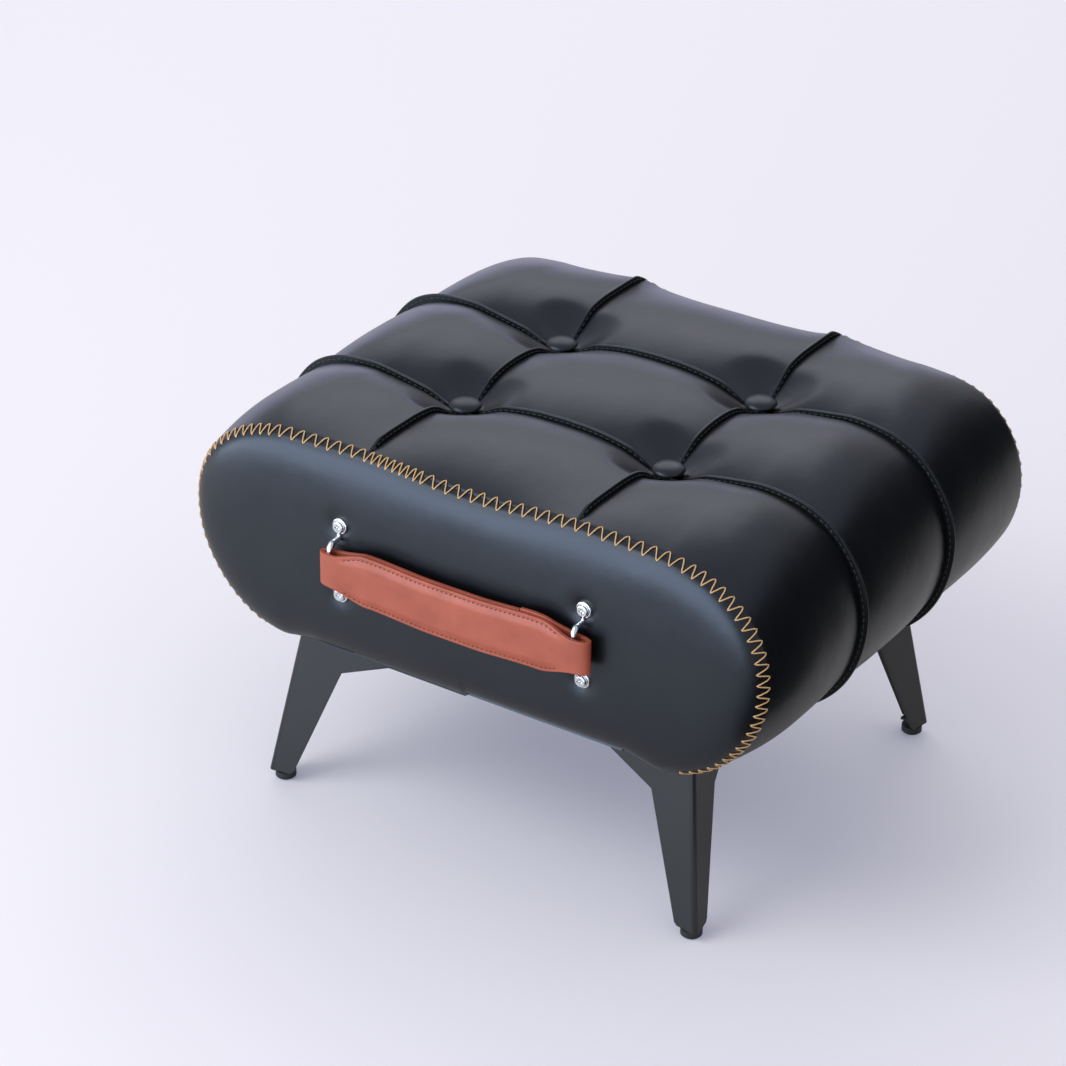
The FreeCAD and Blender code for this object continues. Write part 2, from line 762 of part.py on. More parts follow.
front_inward = Vector(front_along.y, -front_along.x, 0)
side_inward = Vector(-side_along.y, side_along.x, 0)
front_flange = flange(size("leg_reach"), front_along, front_inward)
side_flange = flange(size("leg_side_reach"), side_along, side_inward)
plate_points = [
    plate_corner,
    leg_place(plate_bottom, size("leg_reach"), 0),
    leg_place(plate_bottom, size("leg_reach"), size("leg_plate_width") / 2),
    leg_place(plate_bottom, size("leg_plate_width"), size("leg_side_reach")),
    leg_place(plate_bottom, 0, size("leg_side_reach")),
]
plate = Part.Face(Part.makePolygon(plate_points + [plate_points[0]])).extrude(
    Vector(0, 0, size("sheet_thickness"))
)
leg_shape = front_flange.common(room).fuse([side_flange.common(room), plate]).removeSplitter()
fold_low = leg_place(size("leg_clearance"), 0, 0)
fold_high = plate_corner
fold_edges = [
    edge
    for edge in leg_shape.Edges
    if min((edge.Vertexes[0].Point - fold_low).Length, (edge.Vertexes[-1].Point - fold_low).Length)
    < size("thread_gap")
    and min((edge.Vertexes[0].Point - fold_high).Length, (edge.Vertexes[-1].Point - fold_high).Length)
    < size("thread_gap")
]
leg_shape = leg_shape.makeFillet(size("fold_radius"), fold_edges)
screw_tools = [
    Part.makeCylinder(leg_screw_hole, size("sheet_thickness") + 2 * overrun, place - Vector(0, 0, overrun))
    for place in leg_screw_places
]
leg_shape = leg_shape.cut(screw_tools)


def mirrored(shape, side_x, side_y):
    """The same shape in another corner of the stool."""
    if side_x < 0:
        shape = shape.mirror(Vector(0, 0, 0), Vector(1, 0, 0))
    if side_y < 0:
        shape = shape.mirror(Vector(0, 0, 0), Vector(0, 1, 0))
    return shape


for corner, (side_x, side_y) in corners.items():
    shaped(f"leg_{corner}", mirrored(leg_shape, side_x, side_y))

# Each leg is held by three socket screws in T-nuts that sit on top of the base board
screw = body_named("LegScrewPattern")
sketch = sketch_on(screw, "LegScrewSection", "XZ_Plane")
outline(
    sketch,
    [
        ("0", "-Sizes.leg_screw_head_height"),
        ("Sizes.leg_screw_head / 2", "-Sizes.leg_screw_head_height"),
        ("Sizes.leg_screw_head / 2", "0"),
        ("Sizes.leg_screw_diameter / 2", "0"),
        ("Sizes.leg_screw_diameter / 2", "Sizes.leg_screw_length"),
        ("0", "Sizes.leg_screw_length"),
    ],
)
revolve(screw, sketch)
sketch = sketch_on(screw, "LegScrewSocket", "XY_Plane", "-Sizes.leg_screw_head_height")
hex_half = "Sizes.leg_screw_socket / 2"
hex_corner = f"{hex_half} / cos(30)"
outline(
    sketch,
    [
        (hex_corner, "0"),
        (f"{hex_corner} / 2", hex_half),
        (f"-{hex_corner} / 2", hex_half),
        (f"-{hex_corner}", "0"),
        (f"-{hex_corner} / 2", f"-{hex_half}"),
        (f"{hex_corner} / 2", f"-{hex_half}"),
    ],
)
socket = screw.newObject("PartDesign::Pocket", "LegScrewSocketPocket")
socket.Profile = sketch
socket.setExpression("Length", "Sizes.leg_screw_head_height / 2")
socket.Reversed = True

nut = body_named("TeeNutPattern")
sketch = sketch_on(nut, "TeeNutSection", "XZ_Plane")
bore = "Sizes.leg_screw_diameter / 2 + Sizes.thread_gap"
outline(
    sketch,
    [
        (bore, "-Sizes.t_nut_barrel_length"),
        ("Sizes.t_nut_barrel / 2", "-Sizes.t_nut_barrel_length"),
        ("Sizes.t_nut_barrel / 2", "0"),
        ("Sizes.t_nut_flange / 2", "0"),
        ("Sizes.t_nut_flange / 2", "Sizes.t_nut_flange_thickness"),
        (bore, "Sizes.t_nut_flange_thickness"),
    ],
)
revolve(nut, sketch)
doc.recompute()
shaped("leg_screws", copies(screw, [place + Vector(0, 0, plate_bottom) for place in all_leg_screw_places]))
shaped("t_nuts", copies(nut, [place + Vector(0, 0, base_top) for place in all_leg_screw_places]))

# Leg bottoms: a small plate welded between the flanges, with a weld nut under it for the foot's stud
foot_places = {corner: Vector(side_x * foot_x, side_y * foot_y, 0) for corner, (side_x, side_y) in corners.items()}
nut_bottom = size("leg_clearance")
nut_plate_bottom = nut_bottom + size("nut_height")
nut_plate_top = nut_plate_bottom + size("nut_plate_thickness")
inner_fold = size("sheet_thickness") / math.cos(2 * toe_in)
nut_plate_far = inner_fold + size("nut_plate_width")
nut_plate_points = [
    leg_place(nut_plate_top, inner_fold, inner_fold),
    leg_place(nut_plate_top, nut_plate_far, inner_fold),
    leg_place(nut_plate_top, nut_plate_far, nut_plate_far),
    leg_place(nut_plate_top, inner_fold, nut_plate_far),
]
nut_plate = Part.Face(Part.makePolygon(nut_plate_points + [nut_plate_points[0]])).extrude(
    Vector(0, 0, -size("nut_plate_thickness"))
)
stud_clear = size("stud_diameter") / 2 + size("thread_gap")
stud_rod = Part.makeCylinder(stud_clear, seat_top, Vector(foot_x, foot_y, 0))
nut_plate = nut_plate.cut(stud_rod)
nut_radius = size("nut_width") / 2 / math.cos(math.radians(30))
hexagon = [
    Vector(
        foot_x + nut_radius * math.cos(math.radians(60 * turn)),
        foot_y + nut_radius * math.sin(math.radians(60 * turn)),
        nut_bottom,
    )
    for turn in range(7)
]
weld_nut = Part.Face(Part.makePolygon(hexagon)).extrude(Vector(0, 0, size("nut_height"))).cut(stud_rod)
shaped("nut_plates", Part.makeCompound([mirrored(nut_plate, *sides) for sides in corners.values()]))
shaped("weld_nuts", Part.makeCompound([mirrored(weld_nut, *sides) for sides in corners.values()]))

# Levelling feet: a round nylon pad moulded on a threaded stud
pad_body = body_named("FootPadPattern")
sketch = sketch_on(pad_body, "FootPadSection", "XZ_Plane")
pocket_radius = "Sizes.stud_diameter / 2 + Sizes.thread_gap"
outline(
    sketch,
    [
        ("0", "0"),
        ("Sizes.foot_diameter / 2 - Sizes.foot_bevel", "0"),
        ("Sizes.foot_diameter / 2", "Sizes.foot_bevel"),
        ("Sizes.foot_diameter / 2", "Sizes.foot_height"),
        (pocket_radius, "Sizes.foot_height"),
        (pocket_radius, "Sizes.foot_height - Sizes.stud_bury"),
        ("0", "Sizes.foot_height - Sizes.stud_bury"),
    ],
)
revolve(pad_body, sketch)
stud = doc.addObject("Part::Cylinder", "StudPattern")
stud.setExpression("Radius", "Sizes.stud_diameter / 2")
stud.setExpression("Height", "Sizes.stud_length")
doc.recompute()
stud_lift = Vector(0, 0, size("foot_height") - size("stud_bury"))
for corner, place in foot_places.items():
    shaped(f"foot_pad_{corner}", copies(pad_body, [place]))
    shaped(f"foot_stud_{corner}", copies(stud, [place + stud_lift]))

# Staples that hold the dust cover, flat against the cloth along its four edges
dust_half_x = lobe_centre - size("dust_cover_margin") / 2 - size("staple_edge")
dust_half_y = seam_reach - size("dust_cover_margin") - size("staple_edge")
leg_clear_x = plate_corner.x - size("leg_reach") - size("staple_length")
leg_clear_y = plate_corner.y - size("leg_side_reach") - size("staple_length")
staple_rows = []
row_count = int(leg_clear_x // size("staple_pitch"))
for index in range(-row_count, row_count + 1):
    for side in (-1, 1):
        staple_rows.append((index * size("staple_pitch"), side * dust_half_y, True))
row_count = int(leg_clear_y // size("staple_pitch"))
for index in range(-row_count, row_count + 1):
    for side in (-1, 1):
        staple_rows.append((side * dust_half_x, index * size("staple_pitch"), False))
staples = []
for x, y, lengthwise in staple_rows:
    half_x = size("staple_length") / 2 if lengthwise else size("staple_width") / 2
    half_y = size("staple_width") / 2 if lengthwise else size("staple_length") / 2
    low_corner = (x - half_x, y - half_y, dust_bottom - size("staple_thickness"))
    staples.append(block(low_corner, (x + half_x, y + half_y, dust_bottom)))
shaped("staples", Part.makeCompound(staples))

# Footman loops: chromed, one at each end of the strap, each with two eyelets and an upright bar
bar_y = -strap_centre_reach
bar_low = mid_height - size("bar_length") / 2
bar_high = mid_height + size("bar_length") / 2
wire_radius = size("wire_diameter") / 2
bar_radius = size("bar_diameter") / 2


def footman_loop(x):
    """A chromed loop: an eyelet, a neck and an outward wire at each end, joined by a thicker bar."""
    eyelet_radius = size("eyelet_diameter") / 2
    face = -panel_reach - size("eyelet_thickness")
    bar = Part.makeCylinder(bar_radius, bar_high - bar_low, Vector(x, bar_y, bar_low))
    bar = bar.fuse([Part.makeSphere(bar_radius, Vector(x, bar_y, height)) for height in (bar_low, bar_high)])
    pieces = []
    tools = []
    for side in (-1, 1):
        eye_z = mid_height + side * size("loop_pitch") / 2
        wire_z = mid_height + side * size("bar_length") / 2
        centre = Vector(x, face, eye_z)
        disc = Part.makeCylinder(eyelet_radius, size("eyelet_thickness"), centre, Vector(0, 1, 0))
        rim_face = centre - Vector(0, size("eyelet_rim_height"), 0)
        rim = Part.makeCylinder(eyelet_radius, size("eyelet_rim_height"), rim_face, Vector(0, 1, 0))
        inner = eyelet_radius - size("eyelet_rim_width")
        rim = rim.cut(Part.makeCylinder(inner, size("eyelet_rim_height"), rim_face, Vector(0, 1, 0)))
        low_z, high_z = sorted((eye_z, eye_z - side * size("neck_length")))
        half_neck = size("neck_width") / 2
        neck = block((x - half_neck, face, low_z), (x + half_neck, -panel_reach, high_z))
        wire_start = Vector(x, -panel_reach - wire_radius, wire_z)
        wire = Part.makeCylinder(wire_radius, wire_start.y - bar_y, wire_start, Vector(0, -1, 0))
        wire = wire.fuse(Part.makeSphere(wire_radius, wire_start))
        pieces += [disc, rim, neck, wire]
        hole_start = Vector(x, -panel_reach - end_radius, eye_z)
        tools.append(Part.makeCylinder(screw_clear, end_radius, hole_start, Vector(0, 1, 0)))
    return bar.fuse(pieces).cut(tools).removeSplitter()


shaped("footman_loop_left", footman_loop(-size("bar_spread") / 2))
shaped("footman_loop_right", footman_loop(size("bar_spread") / 2))

# Four pan head cross screws hold the footman loops to the front board
loop_screws = []
screw_face = -panel_reach - size("eyelet_thickness")
for x, z in loop_screw_places:
    start = Vector(x, screw_face, z)
    inward = Vector(0, 1, 0)
    shank_rod = Part.makeCylinder(size("loop_screw_diameter") / 2, size("loop_screw_length"), start, inward)
    head_start = start - Vector(0, size("loop_screw_head_height"), 0)
    head_radius = size("loop_screw_head") / 2
    head = Part.makeCylinder(head_radius, size("loop_screw_head_height"), head_start, inward)
    head_edges = [edge for edge in head.Edges if abs(edge.BoundBox.YMax - head_start.y) < size("thread_gap")]
    head = head.makeFillet(size("loop_screw_head_height") / 2, head_edges)
    half_long = size("loop_screw_cross_length") / 2
    half_slim = size("loop_screw_cross") / 2
    cross_low = head_start.y - overrun
    cross_high = head_start.y + size("loop_screw_cross_depth")
    slots = [
        block((x - half_long, cross_low, z - half_slim), (x + half_long, cross_high, z + half_slim)),
        block((x - half_slim, cross_low, z - half_long), (x + half_slim, cross_high, z + half_long)),
    ]
    loop_screws.append(head.fuse(shank_rod).cut(slots))
shaped("loop_screws", Part.makeCompound(loop_screws))

# Strap handle: one leather band folded round both bars; its ends meet behind, over a filler
wire_low = bar_low + wire_radius
strap_bottom = wire_low + size("rest_gap")
strap_middle = strap_bottom + size("strap_end_width") / 2
strap_x = size("strap_sideways")
loop_radius = size("strap_loop_radius")
loop_middle = size("strap_length") / 2 - loop_radius
wide_half = size("strap_wide_length") / 2
flare_start = size("bar_spread") / 2 - size("strap_flare_length")


def strap_band(inset):
    """The plan of the strap, drawn in by the inset; the loops at its ends are rounder than its middle."""
    half = strap_half_thickness - inset
    radius = loop_radius - inset
    right = [
        Vector(strap_x + flare_start, bar_y - half, 0),
        Vector(strap_x + loop_middle, bar_y - radius, 0),
        Vector(strap_x + loop_middle + radius, bar_y, 0),
        Vector(strap_x + loop_middle, bar_y + radius, 0),
        Vector(strap_x + flare_start, bar_y + half, 0),
    ]
    left = [Vector(2 * strap_x - point.x, point.y, 0) for point in right]
    edges = [
        Part.LineSegment(left[0], right[0]).toShape(),
        Part.LineSegment(right[0], right[1]).toShape(),
        Part.Arc(right[1], right[2], right[3]).toShape(),
        Part.LineSegment(right[3], right[4]).toShape(),
        Part.LineSegment(right[4], left[4]).toShape(),
        Part.LineSegment(left[4], left[3]).toShape(),
        Part.Arc(left[3], left[2], left[1]).toShape(),
        Part.LineSegment(left[1], left[0]).toShape(),
    ]
    return Part.Face(Part.Wire(edges))


def strap_front(margin):
    """The front view of the strap: wide in the middle, drawn in to the bars at both ends."""
    wide = size("strap_width") / 2 - margin
    slim = size("strap_end_width") / 2 - margin
    reach = size("strap_length")
    taper = wide_half + size("strap_taper_length")
    upper = [(wide_half, wide), (taper, slim), (reach, slim)]
    right = upper + [(x, -z) for x, z in upper[::-1]]
    left = [(-x, z) for x, z in right[::-1]]
    points = [Vector(strap_x + x, bar_y - end_radius, strap_middle + z) for x, z in right + left]
    return Part.Face(Part.makePolygon(points + [points[0]])).extrude(Vector(0, 2 * end_radius, 0))


strap_height = Vector(0, 0, size("strap_width"))
strap_floor = Vector(0, 0, strap_middle - size("strap_width") / 2)
outer_band = strap_band(0).extrude(strap_height)
inner_band = strap_band(size("strap_leather")).extrude(strap_height)
strap = outer_band.cut(inner_band)
strap.translate(strap_floor)
strap = strap.common(strap_front(0))
joint_x = strap_x + size("strap_joint")
joint_gap = block(
    (joint_x - size("strap_joint_gap") / 2, bar_y, 0),
    (joint_x + size("strap_joint_gap") / 2, -panel_reach, far_z),
)
strap = strap.cut(joint_gap)
shaped("handle_strap", strap)

filler_reach = flare_start - size("filler_margin")
filler = block(
    (strap_x - filler_reach, bar_y - size("filler_thickness") / 2, strap_floor.z),
    (strap_x + filler_reach, bar_y + size("filler_thickness") / 2, strap_floor.z + size("strap_width")),
)
shaped("strap_filler", filler.common(strap_front(size("filler_margin"))))

# Every object has to be sound before a file is written
doc.recompute()
for item in doc.Objects:
    if "Invalid" in item.State or "Error" in item.State:
        raise RuntimeError(f"{item.Label} did not build: {item.State}")
for item in sub_parts:
    if item.Shape.isNull() or not item.Shape.isValid() or not item.Shape.Solids:
        raise RuntimeError(f"{item.Label} has no sound solid")
for old in os.listdir("parts"):
    if old.endswith(".step"):
        os.remove(os.path.join("parts", old))
for item in sub_parts:
    item.Shape.exportStep(os.path.join("parts", f"{item.Label}.step"))
whole = Part.makeCompound([item.Shape for item in sub_parts]).BoundBox
print("nodes", len(sub_parts))
print("box", [round(value, 2) for value in (whole.XMin, whole.YMin, whole.ZMin, whole.XMax, whole.YMax, whole.ZMax)])
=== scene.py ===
import math

import bpy
import numpy as np
from mathutils import Matrix, Vector


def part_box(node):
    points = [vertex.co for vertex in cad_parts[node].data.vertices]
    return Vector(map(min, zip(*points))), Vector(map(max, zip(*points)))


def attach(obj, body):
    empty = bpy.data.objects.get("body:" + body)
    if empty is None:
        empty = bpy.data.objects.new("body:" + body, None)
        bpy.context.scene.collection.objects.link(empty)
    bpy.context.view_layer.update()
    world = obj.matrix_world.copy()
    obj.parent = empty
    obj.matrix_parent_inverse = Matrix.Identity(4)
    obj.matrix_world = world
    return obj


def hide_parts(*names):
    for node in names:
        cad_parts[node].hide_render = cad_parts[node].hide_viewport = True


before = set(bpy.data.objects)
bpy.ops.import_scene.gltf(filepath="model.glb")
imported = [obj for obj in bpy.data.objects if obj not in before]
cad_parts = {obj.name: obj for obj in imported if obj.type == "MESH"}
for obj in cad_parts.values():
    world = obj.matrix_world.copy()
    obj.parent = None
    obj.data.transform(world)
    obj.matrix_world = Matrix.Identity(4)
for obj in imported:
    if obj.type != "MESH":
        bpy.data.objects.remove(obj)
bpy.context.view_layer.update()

# Wooden frame inside the seat: base, top and end boards, rails and a rib of birch plywood, glued and
# screwed. Bare plywood is pale, dull and fine grained, with the grain along the board's width.
MM = 0.001


def linear(hex_colour):
    """An sRGB hex colour as the linear colour that a shader takes."""
    values = [int(hex_colour[i : i + 2], 16) / 255 for i in (1, 3, 5)]
    return tuple(v / 12.92 if v <= 0.04045 else ((v + 0.055) / 1.055) ** 2.4 for v in values) + (1,)


def add_node(tree, kind, settings=None, links=None):
    """Adds a node. Settings name its properties or sockets; links say which output feeds which socket."""
    node = tree.nodes.new(kind)
    for key, value in (settings or {}).items():
        if isinstance(key, int) or key in node.inputs:
            node.inputs[key].default_value = value
        else:
            setattr(node, key, value)
    for key, source in (links or {}).items():
        tree.links.new(source, node.inputs[key])
    return node


def finish(name, colour, roughness, metallic=0.0, **sockets):
    """A new material with one Principled shader, and its tree and shader to build on."""
    material = bpy.data.materials.new(name)
    material.use_nodes = True
    shader = material.node_tree.nodes["Principled BSDF"]
    shader.inputs["Base Color"].default_value = linear(colour)
    shader.inputs["Roughness"].default_value = roughness
    shader.inputs["Metallic"].default_value = metallic
    for key, value in sockets.items():
        shader.inputs[key.replace("_", " ")].default_value = value
    return material, material.node_tree, shader


def place_in_mm(tree):
    """Object coordinates in millimetres."""
    here = add_node(tree, "ShaderNodeTexCoord")
    return add_node(
        tree, "ShaderNodeVectorMath", {"operation": "SCALE", "Scale": 1 / MM}, {0: here.outputs["Object"]}
    ).outputs[0]


def two_tone(tree, shader, pattern, dark, light, start=0.0, end=1.0):
    """Colours a material between two tones, by a pattern."""
    tone = add_node(tree, "ShaderNodeValToRGB", None, {"Fac": pattern})
    for element, place, colour in zip(tone.color_ramp.elements, (start, end), (dark, light)):
        element.position = place
        element.color = linear(colour)
    tree.links.new(tone.outputs["Color"], shader.inputs["Base Color"])


def cloud_gloss(tree, shader, pattern, low, high):
    """Varies a material's roughness, by a pattern."""
    haze = add_node(tree, "ShaderNodeMapRange", {"To Min": low, "To Max": high}, {"Value": pattern})
    tree.links.new(haze.outputs[0], shader.inputs["Roughness"])


def emboss(tree, shader, height, strength, depth):
    """Presses a pattern into a material's surface, its depth in millimetres."""
    relief = add_node(
        tree, "ShaderNodeBump", {"Strength": strength, "Distance": depth * MM}, {"Height": height}
    )
    tree.links.new(relief.outputs[0], shader.inputs["Normal"])


def thread_finish(name, colour, roughness, scale, distortion, strength, depth, tones=None):
    """A twisted cord or thread: its strands run across it. Two tones, if they are given, paint a highlight
    and a shade on each strand.
    """
    material, tree, shader = finish(name, colour, roughness)
    strands = add_node(
        tree,
        "ShaderNodeTexWave",
        {"Scale": scale, "Distortion": distortion, "bands_direction": "DIAGONAL"},
        {"Vector": place_in_mm(tree)},
    ).outputs["Fac"]
    if tones:
        two_tone(tree, shader, strands, *tones)
    emboss(tree, shader, strands, strength, depth)
    return material


def dress(material, *names):
    """Gives CAD nodes a material."""
    for name in names:
        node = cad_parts[name]
        node.data.materials.clear()
        node.data.materials.append(material)


plywood, tree, shader = finish("birch_plywood", "#C9A878", 0.62)
mm_place = place_in_mm(tree)
grain_place = add_node(tree, "ShaderNodeMapping", {"Scale": (0.02, 0.35, 0.35)}, {"Vector": mm_place})
grain = add_node(
    tree, "ShaderNodeTexNoise", {"Scale": 1.6, "Detail": 6}, {"Vector": grain_place.outputs[0]}
)
two_tone(tree, shader, grain.outputs["Fac"], "#B18C5C", "#DBC096")
dress(
    plywood,
    "base_board",
    "top_board",
    "front_board",
    "back_board",
    "left_rail",
    "right_rail",
    "middle_rib",
)

# Bright zinc plated fixings: frame screws, T-nuts, leg screws, anchor washers, shanks, staples and the
# studs of the feet. Zinc plate is a cool grey metal with a slightly cloudy gloss.
zinc, tree, shader = finish("zinc_plate", "#B9BDC2", 0.34, 1.0)
cloud = add_node(
    tree, "ShaderNodeTexNoise", {"Scale": 0.6, "Detail": 3}, {"Vector": place_in_mm(tree)}
)
cloud_gloss(tree, shader, cloud.outputs["Fac"], 0.26, 0.44)
dress(
    zinc,
    "frame_screws",
    "t_nuts",
    "leg_screws",
    "anchor_washers",
    "button_shanks",
    "staples",
    "foot_stud_front_left",
    "foot_stud_front_right",
    "foot_stud_back_left",
    "foot_stud_back_right",
)

# Waxed flax twine that pulls each button down to its washer under the top board. Twisted, dull, straw
# coloured.
twine = thread_finish("waxed_twine", "#B9A27A", 0.7, scale=0.35, distortion=1.0, strength=0.6, depth=0.2)
dress(twine, "tufting_twines")

# Dust cover: thin black non-woven cloth that closes the seat from below, stapled to the base board. It is
# matt, with a faint pressed mottle.
dust_cloth, tree, shader = finish("spunbond_cloth", "#17171A", 0.92)
mottle = add_node(tree, "ShaderNodeTexVoronoi", {"Scale": 0.9}, {"Vector": place_in_mm(tree)})
emboss(tree, shader, mottle.outputs["Distance"], 0.5, 0.2)
dress(dust_cloth, "dust_cover")

# Seat shape. The cover runs once round a section with two half round ends: place is measured along it in
# millimetres from the middle of the top, and its rise is measured outwards from that plain section.
body_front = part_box("front_board")[0].y
body_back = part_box("back_board")[1].y
SEAT_Y = (body_front + body_back) / 2 / MM
END_RADIUS = 73.5
LOBE_X = 136.5
MID_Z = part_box("dust_cover")[1].z / MM + END_RADIUS
TOP_Z = MID_Z + END_RADIUS
SEAM_Y = 162.0
# Where the lower run starts, and how far the cover and the end panels are tucked under the seat
ROUND_END = LOBE_X + math.pi * END_RADIUS
TUCK = 24
TUCK_END = ROUND_END + TUCK
HIDE_THICKNESS = 1.4 * MM
# The buttons, from the middle of the seat, and how far they are pulled down below the plain top
TUFT_X = 76.0
TUFT_Y = 56.0
BUTTON_RADIUS = 11
BUTTON_SINK = 11.6


def smooth_step(x, start, end):
    """Goes smoothly from 0 to 1 between two places."""
    f = np.clip((np.asarray(x, float) - start) / (end - start), 0, 1)
    return f * f * (3 - 2 * f)


def curve_through(table, x):
    """A smooth curve through a table of places and values."""
    places, values = np.array(table, float).T
    slopes = np.gradient(values, places)
    x = np.clip(x, places[0], places[-1])
    i = np.clip(np.searchsorted(places, x) - 1, 0, len(places) - 2)
    gap = places[i + 1] - places[i]
    f = (x - places[i]) / gap
    a = (1 + 2 * f) * (1 - f) ** 2 * values[i] + f * (1 - f) ** 2 * gap * slopes[i]
    b = f * f * (3 - 2 * f) * values[i + 1] + f * f * (f - 1) * gap * slopes[i + 1]
    return a + b


def section(place):
    """Points and outward normals of the plain section: x, z, and the normal's x and z."""
    side = np.where(place < 0, -1.0, 1.0)
    far = np.abs(place)
    angle = np.clip((far - LOBE_X) / END_RADIUS, 0, math.pi)
    x = np.where(far < LOBE_X, far, LOBE_X + END_RADIUS * np.sin(angle))
    x = np.where(far > ROUND_END, LOBE_X - (far - ROUND_END), x)
    return side * x, MID_Z + END_RADIUS * np.cos(angle), side * np.sin(angle), np.cos(angle)


# Rise of the leather along the sewn lines and along the crowns between them, read off the photograph
SEAM_LINE = (
    (0, -3.5), (22, -3), (50, -0.6), (77, 1), (104, 0.3), (136, -1), (152, -1.6), (172, -0.8),
    (188, 0.3), (203, 1.2), (226, 1), (246, -0.4), (270, -1.3), (300, -1.8), (324, -0.8), (350, 0.4),
    (366, 0.5), (374, -1.2), (384, -3.2), (400, -3.5),
)
SEAM_LINE_BACK = (
    (0, -6.4), (40, -6.8), (60, -6.6), (77, -4.8), (104, -5), (136, -5.4), (150, -4.6), (166, -1.3),
    (181, 2.2), (191, 3.9), (203, 5.1), (219, 5.9), (245, 5.8), (270, 4.6), (292, 3.6), (320, 2),
    (350, 0.7), (366, 0.5), (374, -1.2), (384, -3.2), (400, -3.5),
)
PLEAT_MIDDLE = ((0, 0), (20, -0.7), (40, -3.6), (60, -8.6), (76, -13.5))
PLEAT_OUTER = (
    (76, -13.5), (92, -11.5), (104, -8.5), (120, -5.6), (136, -3.4), (158, -0.8), (173, 2), (190, 4.4),
    (212, 5), (240, 4.8), (262, 4), (300, 3.8), (340, 2), (367, 0), (395, 0),
)
CROWN_OUTER = (
    (76, 9), (106, 9), (136, 7.6), (170, 7.4), (200, 8.2), (236, 8.6), (262, 8.3), (300, 6.8), (340, 3.4),
    (367, 0.6), (395, 0),
)
CROWN_MIDDLE = 9.4
STRIP_CROWN = 8.4
STRIP_LESS = 0.6
# Height above the plain top of the front-to-back pleats' feet, by distance from the middle of the seat
FOOT_LINE = ((0, -0.5), (10, -0.9), (20, -2.3), (32, -5.6), (44, -9.4), (56, -13.5))
FOOT_LINE_END = (
    (56, -13.5), (63, -9.6), (71, -5.6), (82, -1.2), (93, 1.6), (104, 3.1), (125, 3.6), (146, 3), (162, 1),
)
# How much fuller the left end is, from front to back
LEFT_FULLNESS = (
    (-162, 0), (-109, 1.3), (-60, 1.8), (-40, 2.3), (-10, 3.4), (20, 3.6), (56, 3.3), (109, 2.7), (162, 0),
)
# The back seam lies this much lower than the leather beside it, which rolls over to it
BACK_ROLL = 2.2
# How squarely the leather drops from a crown to a pleat, and to a seam
PUFF_POWER = 2.7
SEAM_POWER = 2.3


def smooth_least(a, b, soft):
    """The lesser of two heights, with a rounded corner where they cross."""
    low = np.minimum(a, b)
    return low - soft * np.log(np.exp(-(a - low) / soft) + np.exp(-(b - low) / soft))


def seam_rise(place, side):
    """How far a seam stands out from the plain section: the back one sags more over the top."""
    away = np.abs(place)
    back = np.asarray(side) > 0
    line = np.where(back, curve_through(SEAM_LINE_BACK, away) - BACK_ROLL, curve_through(SEAM_LINE, away))
    # Under the seat the edges are pulled up, on the right more than on the left
    return line - 0.9 * np.sign(place) * smooth_step(away, 368, 388)


def end_fullness(place):
    """How much further the pleats' ends stand out, mostly on the left end."""
    place = np.asarray(place, float)
    return 1.7 * smooth_step(-place, 150, 195) + 0.6 * smooth_step(place, 190, 240)


